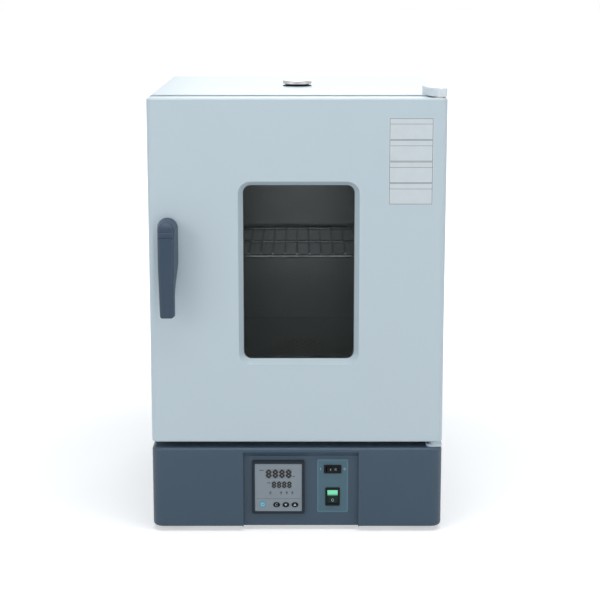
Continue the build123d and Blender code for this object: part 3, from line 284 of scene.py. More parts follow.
along_x = (0.02, 1, 1)
upright = (1, 1, 0.02)
metal("steel_sheet", (0.60, 0.60, 0.58), 0.30, 0.9 * mm, along_x, 0.01 * mm)
metal("trim_steel", (0.62, 0.62, 0.61), 0.24, 0.8 * mm, upright, 0.01 * mm)
metal("zinc_steel", (0.62, 0.64, 0.67), 0.36, 2.0 * mm, (1, 1, 1), 0.02 * mm, cloud=0.25)
metal("chrome_wire", (0.74, 0.75, 0.77), 0.14, 1.5 * mm, (1, 1, 1), 0.005 * mm)
metal("aluminium", (0.66, 0.67, 0.69), 0.46, 0.6 * mm, (1, 1, 1), 0.05 * mm)
metal("brass", (0.74, 0.56, 0.27), 0.26, 0.7 * mm, (1, 1, 1), 0.01 * mm, cloud=0.2)
print("metals ready:", len(finishes))

# %% [markdown]
# The heater's tube is steel that has been hot. Its colour runs from straw through violet to blue in soft
# bands, which a colour ramp over a wide noise gives at once.

# %% Heat-tinted tube
place = start("heater_steel")
bands = noise(place, 60 * mm, 2.0)
bare, straw, violet, blue = (0.28, 0.27, 0.27), (0.36, 0.27, 0.16), (0.20, 0.12, 0.20), (0.12, 0.16, 0.26)
heat_stops = [(0.30, bare), (0.48, straw), (0.58, violet), (0.72, blue)]
tint = bands.make("ShaderNodeValToRGB", {"stops": heat_stops}, {"Fac": bands})
scale = noise(place, 0.8 * mm, 3.0)
close(place, place.make("ShaderNodeBsdfPrincipled", {}, {
    "Base Color": tint, "Metallic": 1.0, "Roughness": 0.4 + scale * 0.2,
    "Normal": bump(place, scale, 0.02 * mm, 0.6),
}))
print("heater tint ready")

# %% [markdown]
# ## Moulded parts
#
# Switches, keys, bezels and the handle are moulded plastic. The mould's steel was spark-eroded, so the
# plastic has a fine leather-like grain, and the sheen breaks up a little where hands touch it. The same
# function makes soft rubber and silicone, with a coarser grain and more roughness, and with a finer grain
# it makes the printed sheets, the inks and the card.

# %% Plastics and rubber
def moulded(name, tint, rough, grain=0.5 * mm, depth=0.02 * mm, coat=0.0, gloss=0.5):
    place = start(name)
    pits = noise(place, grain, 2.0)
    touch = noise(place, 14 * mm, 3.0)
    shader = place.make("ShaderNodeBsdfPrincipled", {}, {
        "Base Color": blend(touch, shade(tint, 0.93), shade(tint, 1.05)),
        "Roughness": rough - 0.05 + touch * 0.12,
        "Normal": bump(place, pits, depth, 0.5),
        "Specular IOR Level": gloss,
        "Coat Weight": coat,
        "Coat Roughness": 0.12,
    })
    close(place, shader)


moulded("handle_plastic", colour(52, 70, 88), 0.40, gloss=0.35)
moulded("bezel_plastic", colour(27, 38, 50), 0.46, gloss=0.25)
moulded("black_plastic", colour(11, 12, 14), 0.42, gloss=0.18)
moulded("cover_plastic", colour(222, 230, 236), 0.36)
moulded("ceramic_board", colour(206, 203, 192), 0.5)
moulded("nylon", colour(214, 212, 200), 0.5)
moulded("rubber", colour(34, 34, 35), 0.7, grain=0.9 * mm, depth=0.05 * mm)
moulded("silicone", colour(182, 178, 170), 0.55, grain=0.7 * mm, depth=0.02 * mm)
moulded("motor_paint", colour(44, 46, 50), 0.4, grain=1.1 * mm, depth=0.04 * mm)
moulded("display_plastic", colour(124, 133, 138), 0.30, grain=0.3 * mm, depth=0.002 * mm)
moulded("face_sheet", colour(134, 145, 153), 0.5, grain=0.25 * mm, depth=0.01 * mm)
moulded("label_sheet", colour(70, 102, 116), 0.44, grain=0.25 * mm, depth=0.01 * mm)
moulded("cyan_key", colour(70, 160, 188), 0.32, coat=0.3)
moulded("print_line", colour(104, 136, 152), 0.5, grain=0.3 * mm, depth=0.002 * mm)
moulded("print_dark", colour(14, 15, 17), 0.6, grain=0.3 * mm, depth=0.002 * mm)
moulded("print_pale", colour(186, 204, 212), 0.5, grain=0.3 * mm, depth=0.002 * mm)
moulded("card_stock", colour(212, 221, 225), 0.55, grain=0.4 * mm, depth=0.004 * mm)
print("mouldings ready:", len(finishes))

# %% [markdown]
# ## Mineral wool
#
# The packing between the case and the chamber is matted rock fibre. It is out of sight while the sheets
# are on, but the solids are all there, so it gets its fibre too: two noises drawn out in crossing
# directions.

# %% Wool
place = start("wool")
fibre = noise(place, 1.2 * mm, 4.0, (0.2, 1, 1)) * 0.5 + noise(place, 1.2 * mm, 4.0, (1, 0.2, 1)) * 0.5
close(place, place.make("ShaderNodeBsdfPrincipled", {}, {
    "Base Color": blend(fibre, (0.36, 0.33, 0.24), (0.70, 0.66, 0.52)), "Roughness": 0.95,
    "Normal": bump(place, fibre, 0.6 * mm, 1.0),
}))
print("wool ready")

# %% [markdown]
# ## The rocker's painted highlight
#
# The power switch is green plastic. Its upper half carries a painted highlight: a lighter colour and a pale
# green emission that fade downwards and stand in for the overhead light on that half. The emission follows
# the height on the rocker, so the highlight lies on the plastic itself.

# %% Green lens with a painted highlight on its upper half
rocker_low, rocker_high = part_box("power_rocker")
rocker_mid = (rocker_low + rocker_high) / 2
rocker_tall = rocker_high.z - rocker_low.z
# Where the painted highlight starts, and where it is full.
highlight_start = rocker_mid.z + 0.02 * rocker_tall
highlight_full = rocker_mid.z + 0.26 * rocker_tall

place = start("green_lens")
height = place.make("ShaderNodeSeparateXYZ", {}, {"Vector": place}, out="Z")
painted_highlight = place.make("ShaderNodeMapRange", {"interpolation_type": "SMOOTHSTEP"}, {
    "Value": height, "From Min": highlight_start, "From Max": highlight_full,
})
cloud = noise(place, 5 * mm, 2.0)
# Base colour and emission both carry the painted highlight: pale at the top, dark below.
close(place, place.make("ShaderNodeBsdfPrincipled", {}, {
    "Base Color": blend(painted_highlight, colour(8, 34, 26), colour(120, 214, 170)),
    "Roughness": 0.22 + cloud * 0.1, "Specular IOR Level": 0.2,
    "Emission Color": blend(painted_highlight * (0.7 + cloud * 0.3), (0.0, 0.004, 0.003), colour(120, 216, 172)),
    "Emission Strength": 0.45,
}))
print("glow from z", round(highlight_start, 4), "to", round(highlight_full, 4))

# %% [markdown]
# ## Toughened glass
#
# The door has two panes with a steel tunnel between them. Glass made as a solid that bends light keeps
# lamps out of the chamber unless the renderer works very hard. A pane seen square on hardly bends
# anything, so a mix does: light goes through and loses a fifth at each face, and by the Fresnel share it
# is mirrored. The share and the mirror's colour are kept low, because the white studio would
# otherwise veil the dark chamber.

# %% Glass
loss_per_face = (0.79, 0.80, 0.805)
mirror_tint = (0.26, 0.29, 0.29)
mirror_index = 1.22

place = start("glass")
mirror_share = place.make("ShaderNodeFresnel", {}, {"IOR": mirror_index})
smear = noise(place, 45 * mm, 3.0)
through = place.make("ShaderNodeBsdfTransparent", {}, {"Color": as_rgba(loss_per_face)})
mirror = place.make("ShaderNodeBsdfPrincipled", {}, {
    "Base Color": as_rgba(mirror_tint), "Metallic": 1.0, "Roughness": 0.02 + smear * 0.03,
})
close(place, place.make("ShaderNodeMixShader", {}, {0: mirror_share, 1: through, 2: mirror}))
print("finishes:", len(finishes))

# %% [markdown]
# ## Handing out the finishes
#
# The record of the oven names a material slot for each solid, and the finishes above carry those names,
# so one loop dresses them all. A few solids differ from their slot: the brushing of trim and strips runs
# upright, not across.

# %% Dress the solids
wears = {part["node"]: part["material_slot"] for part in frame["record"]["subparts"]}
for name in ("window_trim", "front_frame", "shelf_strips", "glass_spacer"):
    wears[name] = "trim_steel"
for name, solid in nodes.items():
    for place_for in solid.material_slots:
        place_for.material = finishes[wears[name]]
print(len(wears), "solids dressed")

# %% [markdown]
# ## Where the small things sit
#
# Marks, lamps and screws have to sit on the solids they belong to, so their places are read from the
# solids' boxes. A node such as the screws holds several loose solids; walking along its edges tells them
# apart.

# %% Loose solids of one node
def loose_solids(node):
    """Point lists of the separate solids in a node, sorted by place."""
    copy = bmesh.new()
    copy.from_mesh(nodes[node].data)
    bmesh.ops.remove_doubles(copy, verts=copy.verts, dist=0.01 * mm)
    waiting = set(copy.verts)
    found = []
    while waiting:
        edge_of_walk = [waiting.pop()]
        points = []
        while edge_of_walk:
            vertex = edge_of_walk.pop()
            points.append(vertex.co.copy())
            for edge in vertex.link_edges:
                other = edge.other_vert(vertex)
                if other in waiting:
                    waiting.remove(other)
                    edge_of_walk.append(other)
        found.append(points)
    copy.free()
    return sorted(found, key=lambda points: tuple(round(c, 5) for c in corners(points)[0]))


def corners(points):
    low = Vector([min(p[k] for p in points) for k in range(3)])
    high = Vector([max(p[k] for p in points) for k in range(3)])
    return low, high


print("loose screws:", len(loose_solids("case_screws")), "and", len(loose_solids("hinge_screws")))

# %% [markdown]
# ## Geometry Nodes for what repeats
#
# A screw head or a digit's bar is one small shape, repeated at many places. Copying meshes in Python
# would work, but a geometry tree keeps the shape, its sizes and its places apart: the sizes are named
# inputs and the places are a handful of points. `plant` starts a tree, `finish_tree` ends it, and
# `harvest` runs it over its points and keeps the result as a plain mesh that rides on a body.

# %% Planting and harvesting a geometry tree
def plant(name, sizes):
    """A geometry tree with a named input for each size: (tree, wires by name)."""
    tree = bpy.data.node_groups.new(name, "GeometryNodeTree")
    tree.interface.new_socket("Geometry", in_out="INPUT", socket_type="NodeSocketGeometry")
    tree.interface.new_socket("Geometry", in_out="OUTPUT", socket_type="NodeSocketGeometry")
    for label, value in sizes.items():
        kind = "NodeSocketInt" if isinstance(value, int) else "NodeSocketFloat"
        tree.interface.new_socket(label, in_out="INPUT", socket_type=kind)
    tree.interface.new_socket("Finish", in_out="INPUT", socket_type="NodeSocketMaterial")
    entry = tree.nodes.new("NodeGroupInput")
    return tree, {socket.name: Wire(tree, socket) for socket in entry.outputs if socket.name}


def joined(wires):
    """Several geometries as one."""
    node = wires[0].tree.nodes.new("GeometryNodeJoinGeometry")
    for wire in wires:
        wire.tree.links.new(wire.output, node.inputs[0])
    return Wire(wires[0].tree, node.outputs[0])


def finish_tree(geometry, finish):
    """Ends a tree: real geometry in place of instances, one material, group output."""
    real = geometry.make("GeometryNodeRealizeInstances", {}, {0: geometry})
    dressed = real.make("GeometryNodeSetMaterial", {}, {0: real, "Material": finish})
    exit_node = dressed.tree.nodes.new("NodeGroupOutput")
    dressed.tree.links.new(dressed.output, exit_node.inputs[0])


def harvest(name, tree, points, sizes, finish, body, attributes=None):
    """Runs a tree over points and keeps the result as a plain mesh on a body."""
    seed = bpy.data.meshes.new(name + "_points")
    seed.from_pydata([tuple(p) for p in points], [], [])
    for label, (kind, values) in (attributes or {}).items():
        layer = seed.attributes.new(label, kind, "POINT")
        for slot_of, value in zip(layer.data, values):
            if kind == "FLOAT":
                slot_of.value = value
            else:
                slot_of.vector = value
    grower = bpy.data.objects.new(name + "_grower", seed)
    bpy.context.scene.collection.objects.link(grower)
    modifier = grower.modifiers.new("grow", "NODES")
    modifier.node_group = tree
    values = {**sizes, "Finish": finishes[finish]}
    for item in tree.interface.items_tree:
        if item.in_out == "INPUT" and item.name in values:
            modifier[item.identifier] = values[item.name]
    graph = bpy.context.evaluated_depsgraph_get()
    mesh = bpy.data.meshes.new_from_object(grower.evaluated_get(graph))
    bpy.data.objects.remove(grower)
    return keep(name, mesh, finish, body)


def keep(name, mesh, finish, body):
    """A finished mesh as a piece of the oven that rides on a body."""
    mesh.name = name
    piece = bpy.data.objects.new(name, mesh)
    bpy.context.scene.collection.objects.link(piece)
    mesh.materials.clear()
    mesh.materials.append(finishes[finish])
    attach(piece, body)
    return piece


slot_names = {part["material_slot"] for part in frame["record"]["subparts"]}
slot_for = {finish: finish for finish in finishes if finish in slot_names}
slot_for["card_stock"] = "cover_plastic"
slot_for["print_dark"] = "black_plastic"
slot_for["print_pale"] = "label_sheet"
slot_for["print_line"] = "label_sheet"
print("record slots:", len(slot_names))

# %% [markdown]
# ## Screws with a cross recess
#
# The solids have plain pan heads. A real head has a low dome and a cross recess cut into it, and no two
# screws stop at the same angle. The head is a disc whose rim sinks with the fourth power of the distance
# from its middle, with two crossed bars cut away; each copy is turned by a random angle with a fixed
# seed.

# %% The screw tree
screw_sizes = {
    "Head height": 0.62, "Crown": 0.30, "Recess length": 1.15, "Recess width": 0.24, "Recess depth": 0.34,
    "Spin seed": 7,
}
tree, size = plant("screws", screw_sizes)
start_wire = size["Geometry"]
disc = start_wire.make("GeometryNodeMeshCylinder", {"fill_type": "TRIANGLE_FAN"}, {
    "Vertices": 28, "Side Segments": 1, "Fill Segments": 5, "Radius": 1.0, "Depth": size["Head height"],
})
spot = disc.make("GeometryNodeInputPosition")
split = {axis: spot.make("ShaderNodeSeparateXYZ", {}, {0: spot}, out=axis) for axis in ("X", "Y", "Z")}
from_axis = split["X"] * split["X"] + split["Y"] * split["Y"]
sunk = from_axis * from_axis * size["Crown"] * split["Z"].above(0.0)
domed = disc.make("GeometryNodeSetPosition", {}, {
    "Geometry": disc, "Offset": disc.make("ShaderNodeCombineXYZ", {}, {"Z": 0.0 - sunk}),
})
bars = []
for quarter in (0, 1):
    bar = disc.make("GeometryNodeMeshCube", {}, {
        "Size": disc.make("ShaderNodeCombineXYZ", {}, {
            "X": size["Recess length"], "Y": size["Recess width"], "Z": 2 * size["Recess depth"],
        }),
    })
    bars.append(bar.make("GeometryNodeTransform", {}, {
        "Geometry": bar, "Rotation": (0, 0, quarter * math.pi / 2),
        "Translation": bar.make("ShaderNodeCombineXYZ", {}, {"Z": 0.5 * size["Head height"]}),
    }))
cut = tree.nodes.new("GeometryNodeMeshBoolean")
cut.operation = "DIFFERENCE"
tree.links.new(domed.output, cut.inputs["Mesh 1"])
for bar in bars:
    tree.links.new(bar.output, cut.inputs["Mesh 2"])
head = Wire(tree, cut.outputs["Mesh"])
head = head.make("GeometryNodeTransform", {}, {
    "Geometry": head,
    "Translation": head.make("ShaderNodeCombineXYZ", {}, {"Z": 0.5 * size["Head height"]}),
})
shank = head.make("GeometryNodeMeshCylinder", {}, {"Vertices": 16, "Radius": 1.0, "Depth": 1.0})
shank = shank.make("GeometryNodeTransform", {}, {"Geometry": shank, "Translation": (0, 0, -0.5)})
facing = head.make("GeometryNodeInputNamedAttribute", {"data_type": "FLOAT_VECTOR"}, {"Name": "facing"})
turn = facing.make("FunctionNodeAlignRotationToVector", {"axis": "Z"}, {"Vector": facing})
head_scale = head.make("GeometryNodeInputNamedAttribute", {"data_type": "FLOAT"}, {"Name": "head"})
shank_scale = head.make("GeometryNodeInputNamedAttribute", {"data_type": "FLOAT_VECTOR"}, {"Name": "shank"})
heads = head.make("GeometryNodeInstanceOnPoints", {}, {
    "Points": size["Geometry"], "Instance": head, "Rotation": turn, "Scale": head_scale,
})
any_angle = head.make("FunctionNodeRandomValue", {"data_type": "FLOAT"}, {
    2: 0.0, 3: math.pi / 2, "Seed": size["Spin seed"],
}, out=1)
heads = heads.make("GeometryNodeRotateInstances", {}, {
    "Instances": heads, "Rotation": heads.make("ShaderNodeCombineXYZ", {}, {"Z": any_angle}),
})
shanks = head.make("GeometryNodeInstanceOnPoints", {}, {
    "Points": size["Geometry"], "Instance": shank, "Rotation": turn, "Scale": shank_scale,
})
finish_tree(joined([heads, shanks]), size["Finish"])
screw_tree = tree
print("screw tree:", len(tree.nodes), "nodes")

# %% [markdown]
# A screw's axis, head and length are read from its own solid: two of its three widths are equal, the
# third lies along the axis, and the head is where the points stand furthest from it.

# %% Screws where the solids have them
rim_share = 0.98
head_margin = 0.1 * mm


def read_screw(points):
    """Place under the head, direction of the head, head radius, shank radius and length."""
    low, high = corners(points)
    span = high - low
    gaps = [abs(span[(k + 1) % 3] - span[(k + 2) % 3]) for k in range(3)]
    axis = gaps.index(min(gaps))
    centre = (low + high) / 2
    along = [p[axis] - centre[axis] for p in points]
    out = [math.dist([p[k] for k in range(3) if k != axis], [centre[k] for k in range(3) if k != axis])
           for p in points]
    widest = max(out)
    rim = [a for a, r in zip(along, out) if r > rim_share * widest]
    side = 1 if sum(rim) > 0 else -1
    under = min(side * a for a in rim)
    thin = max(r for a, r in zip(along, out) if side * a < under - head_margin)
    length = under - min(side * a for a in along)
    place_of = centre.copy()
    place_of[axis] += side * under
    facing_of = Vector((0, 0, 0))
    facing_of[axis] = side
    return place_of, facing_of, widest, thin, length


def screws(name, found, finish, body):
    attributes = {
        "facing": ("FLOAT_VECTOR", [screw[1] for screw in found]),
        "head": ("FLOAT", [screw[2] for screw in found]),
        "shank": ("FLOAT_VECTOR", [(screw[3], screw[3], screw[4]) for screw in found]),
    }
    places = [screw[0] for screw in found]
    return harvest(name, screw_tree, places, screw_sizes, finish, body, attributes)


for node in ("case_screws", "hinge_screws"):
    found = [read_screw(points) for points in loose_solids(node)]
    piece = screws(node + "_crossed", found, "zinc_steel", "cabinet")
    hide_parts(node)
    print(piece.name, len(found), "screws,", len(piece.data.polygons), "faces")

# %% [markdown]
# The door's inside has its own screws: the trim ring is held to the liner, and the liner to the skin's
# edge. They are placed along those edges by even steps, and keep away from the latch.

# %% Screws on the inside of the door
def even(first, last, count):
    return [first + (last - first) * k / (count - 1) for k in range(count)]


trim_low, trim_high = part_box("window_trim")
liner_low, liner_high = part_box("door_liner")
spindle_low, spindle_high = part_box("handle_spindle")
trim_in = 7 * mm
liner_in = 17 * mm
latch_room = 34 * mm
small_head = 2.6 * mm
small_shank = small_head / 2
small_length = 0.5 * mm
inside_places = []
for x in (trim_low.x + trim_in, trim_high.x - trim_in):
    for z in even(trim_low.z + 3 * trim_in, trim_high.z - 3 * trim_in, 4):
        inside_places.append((x, trim_high.y, z))
for z in (trim_low.z + trim_in, trim_high.z - trim_in):
    for x in even(trim_low.x + 4 * trim_in, trim_high.x - 4 * trim_in, 3):
        inside_places.append((x, trim_high.y, z))
latch_z = (spindle_low.z + spindle_high.z) / 2
for x in (liner_low.x + liner_in, liner_high.x - liner_in):
    for z in even(liner_low.z + liner_in, liner_high.z - liner_in, 5):
        if x > 0 or abs(z - latch_z) > latch_room:
            inside_places.append((x, liner_high.y, z))
to_the_back = Vector((0, 1, 0))
inside = [(Vector(p), to_the_back, small_head, small_shank, small_length) for p in inside_places]
screws("door_screws", inside, "zinc_steel", "door")
print("screws inside the door:", len(inside))

# %% [markdown]
# ## Digits
#
# The two displays show thick seven-bar digits. One bar is a box with four rows of points: the outer rows
# are pulled together into tips. Seven bars make a digit and a line of digits makes the number. All bars
# are on, as in the picture, so no bar has to be left out.

# %% The digit tree
tree, size = plant("digits", {
    "Digits": 4, "Digit width": 7 * mm, "Digit height": 12 * mm, "Pitch": 10 * mm, "Stroke": 2 * mm,
    "Depth": 0.1 * mm,
})
bar_share = 0.92
tip_share = 0.15


def pointed_bar(length):
    """A bar along X, as long as the wire length, with a tip at each end."""
    body = length.make("GeometryNodeMeshCube", {}, {
        "Size": length.make("ShaderNodeCombineXYZ", {}, {
            "X": length, "Y": size["Depth"], "Z": size["Stroke"],
        }),
        "Vertices X": 4,
    })
    at = body.make("GeometryNodeInputPosition")
    x, y, z = (at.make("ShaderNodeSeparateXYZ", {}, {0: at}, out=axis) for axis in ("X", "Y", "Z"))
    far = x.maths("ABSOLUTE", x, 0.0)
    tip = far.maths("GREATER_THAN", far, length * 0.4)
    reach = length * 0.5 - size["Stroke"] * 0.5 * (1 - tip)
    moved = body.make("ShaderNodeCombineXYZ", {}, {
        "X": x.maths("SIGN", x, 0.0) * reach, "Y": y, "Z": z * (1 - tip * (1 - tip_share)),
    })
    return body.make("GeometryNodeSetPosition", {}, {"Geometry": body, "Position": moved})


half_high = size["Digit height"] * 0.5 - size["Stroke"] * 0.5
half_wide = size["Digit width"] * 0.5 - size["Stroke"] * 0.5
across = pointed_bar(2 * half_wide * bar_share)
upright_bar = pointed_bar(half_high * bar_share)
bars = []
for level in (-1, 0, 1):
    bars.append(across.make("GeometryNodeTransform", {}, {
        "Geometry": across,
        "Translation": across.make("ShaderNodeCombineXYZ", {}, {"Z": half_high * level}),
    }))
for side in (-1, 1):
    for level in (-0.5, 0.5):
        bars.append(upright_bar.make("GeometryNodeTransform", {}, {
            "Geometry": upright_bar, "Rotation": (0, math.pi / 2, 0),
            "Translation": upright_bar.make("ShaderNodeCombineXYZ", {}, {
                "X": half_wide * side, "Z": half_high * level,
            }),
        }))
row = size["Geometry"].make("GeometryNodeMeshLine", {}, {
    "Count": size["Digits"], "Offset": across.make("ShaderNodeCombineXYZ", {}, {"X": size["Pitch"]}),
})
number = row.make("GeometryNodeInstanceOnPoints", {}, {"Points": row, "Instance": joined(bars)})
placed = number.make("GeometryNodeInstanceOnPoints", {}, {"Points": size["Geometry"], "Instance": number})
finish_tree(placed, size["Finish"])
digit_tree = tree

digits = 4
width_share = 0.90
height_share = 0.94
stroke_share = 0.24
digit_depth = 0.12 * mm
displays = [corners(points) for points in loose_solids("displays")]
displays.sort(key=lambda box: box[0].z, reverse=True)
for name, (low, high) in zip(("digits_upper", "digits_lower"), displays):
    pitch = (high.x - low.x) / digits
    tall = high.z - low.z
    sizes_here = {
        "Digits": digits, "Digit width": pitch * width_share, "Digit height": tall * height_share,
        "Pitch": pitch, "Stroke": tall * stroke_share, "Depth": digit_depth,
    }
    first = (low.x + pitch / 2, low.y, (low.z + high.z) / 2)
    piece = harvest(name, digit_tree, [first], sizes_here, "print_dark", "cabinet")
    print(piece.name, len(piece.data.polygons), "faces")

# %% [markdown]
# ## Printed marks
#
# The other marks are flat ink: rings and rules on the face, a frame line round the switches, symbols on
# the keys, and I and O on the rockers. Ink is thin, but a mesh needs a thickness, so each mark is a
# closed plate of a few hundredths of a millimetre that stands just proud of what it is printed on.

# %% Flat plates from outlines
ink = 0.05 * mm


def plates(outlines, front, thickness=ink):
    """Closed plates from (x, z) polygons, with their front at that depth."""
    shape = bmesh.new()
    meeting = {}
    for outline in outlines:
        ring = []
        for x, z in outline:
            key = (round(x, 7), round(z, 7))
            if key not in meeting:
                meeting[key] = shape.verts.new((x, front, z))
            if meeting[key] not in ring:
                ring.append(meeting[key])
        if shape.faces.get(ring) is None:
            shape.faces.new(ring)
    shape.normal_update()
    bmesh.ops.solidify(shape, geom=list(shape.faces), thickness=thickness)
    bmesh.ops.recalc_face_normals(shape, faces=shape.faces)
    points = [v.co.y for v in shape.verts]
    bmesh.ops.translate(shape, vec=(0, front - min(points), 0), verts=shape.verts)
    mesh = bpy.data.meshes.new("mark")
    shape.to_mesh(mesh)
    shape.free()
    return mesh


def line(points, width, loop=False):
    """A drawn line as a chain of quads with mitred corners."""
    count = len(points)
    sides = []
    for k, (x, z) in enumerate(points):
        before = points[k - 1] if k or loop else None
        after = points[(k + 1) % count] if k + 1 < count or loop else None
        ways = []
        for a, b in ((before, (x, z)), ((x, z), after)):
            if a is not None and b is not None:
                ways.append(Vector((b[0] - a[0], b[1] - a[1])).normalized())
        way = sum(ways, Vector((0, 0))).normalized()
        stretch = width / 2 / max(way.dot(ways[0]), 0.5)
        out_x, out_z = way.y * stretch, way.x * stretch
        sides.append(((x - out_x, z + out_z), (x + out_x, z - out_z)))
    quads = []
    for k in range(count if loop else count - 1):
        here, there = sides[k], sides[(k + 1) % count]
        quads.append([here[0], here[1], there[1], there[0]])
    return quads


def arc(x, z, radius, first, last, steps):
    """Points along an arc, in degrees."""
    angles = [math.radians(first + (last - first) * k / steps) for k in range(steps + 1)]
    return [(x + radius * math.cos(a), z + radius * math.sin(a)) for a in angles]


def bevelled_frame(x0, x1, z0, z1, radius, steps=5):
    """Corner points of a rounded rectangle."""
    points = []
    for cx, cz, first in ((x1 - radius, z1 - radius, 0), (x0 + radius, z1 - radius, 90),
                          (x0 + radius, z0 + radius, 180), (x1 - radius, z0 + radius, 270)):
        points += arc(cx, cz, radius, first, first + 90, steps)
    return points


print("ink stands", ink, "m proud")

# %% [markdown]
# The face carries a thin rule over the keys, three short bars that stand for its lettering, and four small
# lamps with domed lenses, each with a ring and a dash under it. Their places are shares of the face,
# counted from its lower left corner.

# %% Marks on the controller's face
face_low, face_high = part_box("controller_face")
face_wide = face_high.x - face_low.x
face_tall = face_high.z - face_low.z


def on_face(across_share, up_share):
    return face_low.x + face_wide * across_share, face_low.z + face_tall * up_share


fine_line = 0.35 * mm
dash_line = 0.4 * mm
legend_line = 1.1 * mm
rule_left = on_face(0.03, 0.265)
rule_right = on_face(0.97, 0.265)
marks = line([rule_left, rule_right], fine_line)
small_rules = [((0.10, 0.865), (0.19, 0.865)), ((0.26, 0.60), (0.33, 0.60)), ((0.80, 0.735), (0.85, 0.735))]
for first, last in small_rules:
    marks += line([on_face(*first), on_face(*last)], legend_line)
lamp_places = [on_face(share, 0.395) for share in (0.33, 0.56, 0.68, 0.80)]
lamp_ring = 1.9 * mm
dash_half = 1.6 * mm
dash_drop = 3.2 * mm
for x, z in lamp_places:
    marks += line(arc(x, z, lamp_ring, 0, 330, 11), fine_line)
    marks += line([(x - dash_half, z - dash_drop), (x + dash_half, z - dash_drop)], dash_line)
face_front = face_low.y
keep("face_marks", plates(marks, face_front - ink), "print_dark", "cabinet")


def domed_lamps(name, places, radius, height, front, finish, body):
    """Small round lenses with a domed front."""
    shape = bmesh.new()
    for x, z in places:
        before = set(shape.verts)
        bmesh.ops.create_uvsphere(shape, u_segments=16, v_segments=8, radius=1.0)
        for vertex in shape.verts:
            if vertex not in before:
                cx, cy, cz = vertex.co
                vertex.co = (x + cx * radius, front + cy * height, z + cz * radius)
    bmesh.ops.recalc_face_normals(shape, faces=shape.faces)
    mesh = bpy.data.meshes.new(name)
    shape.to_mesh(mesh)
    shape.free()
    for polygon in mesh.polygons:
        polygon.use_smooth = True
    return keep(name, mesh, finish, body)


lamp_radius = 1.1 * mm
lamp_dome = 0.35 * mm
domed_lamps("face_lamps", lamp_places, lamp_radius, lamp_dome, face_front, "print_dark", "cabinet")
print("lamps on the face:", len(lamp_places))

# %% [markdown]
# The switch plate has a fine frame line a little lighter than its own teal, and a pale I and O on either
# side of the small rocker.

# %% Frame line and signs on the switch plate
plate_low, plate_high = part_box("switch_plate")
plate_mid = (plate_low.x + plate_high.x) / 2
fan_low, fan_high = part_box("fan_rocker")
edge_in = 1.9 * mm
frame_bend = 2.2 * mm
frame_points = bevelled_frame(
    plate_low.x + edge_in, plate_high.x - edge_in, plate_low.z + edge_in, plate_high.z - edge_in, frame_bend
)
frame_line = line(frame_points, 0.7 * mm, loop=True)
keep("plate_frame", plates(frame_line, plate_low.y - ink), "print_line", "cabinet")
fan_mid_z = (fan_low.z + fan_high.z) / 2
sign_out = 20.5 * mm
sign_x = plate_mid - sign_out
sign_half = 1.8 * mm
sign_ring = 1.6 * mm
signs = line([(sign_x, fan_mid_z - sign_half), (sign_x, fan_mid_z + sign_half)], 0.7 * mm)
signs += line(arc(plate_mid + sign_out, fan_mid_z, sign_ring, 0, 345, 15), 0.6 * mm)
keep("plate_marks", plates(signs, plate_low.y - ink), "print_pale", "cabinet")
print("frame line", round(plate_high.x - plate_low.x - 2 * edge_in, 4), "wide")

# %% [markdown]
# A key or rocker moves, so its mark rides on the same body. The rockers' faces slope, and a flat plate
# would float at one end and sink at the other. So each point of such a mark is dropped onto the rocker's
# own mesh by a ray from the front.

# %% Marks on keys and rockers
def lay_on(mesh, node, lift):
    """Moves each point of a mark back until it lies on the node's front."""
    target = bmesh.new()
    target.from_mesh(nodes[node].data)
    tree_of_faces = BVHTree.FromBMesh(target)
    front = min(v.co.y for v in mesh.vertices)
    start_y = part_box(node)[0].y - 10 * mm
    for vertex in mesh.vertices:
        hit = tree_of_faces.ray_cast(Vector((vertex.co.x, start_y, vertex.co.z)), Vector((0, 1, 0)))[0]
        if hit is None:
            hit = Vector((0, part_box(node)[0].y, 0))
        vertex.co.y = hit.y - lift + (vertex.co.y - front)
    target.free()
    return mesh


def triangle(x, z, reach, way):
    """An arrow head that points up or down."""
    foot = z - way * reach * 0.7
    return [[(x, z + way * reach), (x - reach, foot), (x + reach, foot)]]


def upright_strip(x, z0, z1, width, steps=1):
    """A standing strip in steps, so that it can follow a curved face."""
    levels = [z0 + (z1 - z0) * k / steps for k in range(steps + 1)]
    left, right = x - width / 2, x + width / 2
    return [[(left, a), (right, a), (right, b), (left, b)] for a, b in zip(levels, levels[1:])]


symbol_share = 0.26
for node in ("key_power", "key_set", "key_down", "key_up"):
    low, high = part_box(node)
    x, z = (low.x + high.x) / 2, (low.z + high.z) / 2
    reach = (high.z - low.z) * symbol_share
    if node == "key_power":
        mark = line(arc(x, z, reach, 125, 415, 18), 0.8 * mm)
        mark += line([(x, z + 0.1 * mm), (x, z + reach * 1.3)], 0.8 * mm)
    elif node == "key_set":
        mark = line(arc(x, z, reach * 0.9, 40, 320, 14), 0.55 * mm)
    else:
        mark = triangle(x, z, reach, 1 if node == "key_up" else -1)
    keep(node + "_mark", plates(mark, low.y - ink), "print_pale", node)

low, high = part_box("power_rocker")
x = (low.x + high.x) / 2
tall = high.z - low.z
bar_foot, bar_top, ring_level = (low.z + tall * share for share in (0.62, 0.74, 0.24))
bar_mark = upright_strip(x, bar_foot, bar_top, 0.9 * mm, steps=4)
ring_mark = line(arc(x, ring_level, 1.9 * mm, 0, 350, 20), 0.55 * mm)
mesh = lay_on(plates(bar_mark + ring_mark, low.y), "power_rocker", ink)
keep("power_rocker_mark", mesh, "print_pale", "power_rocker")

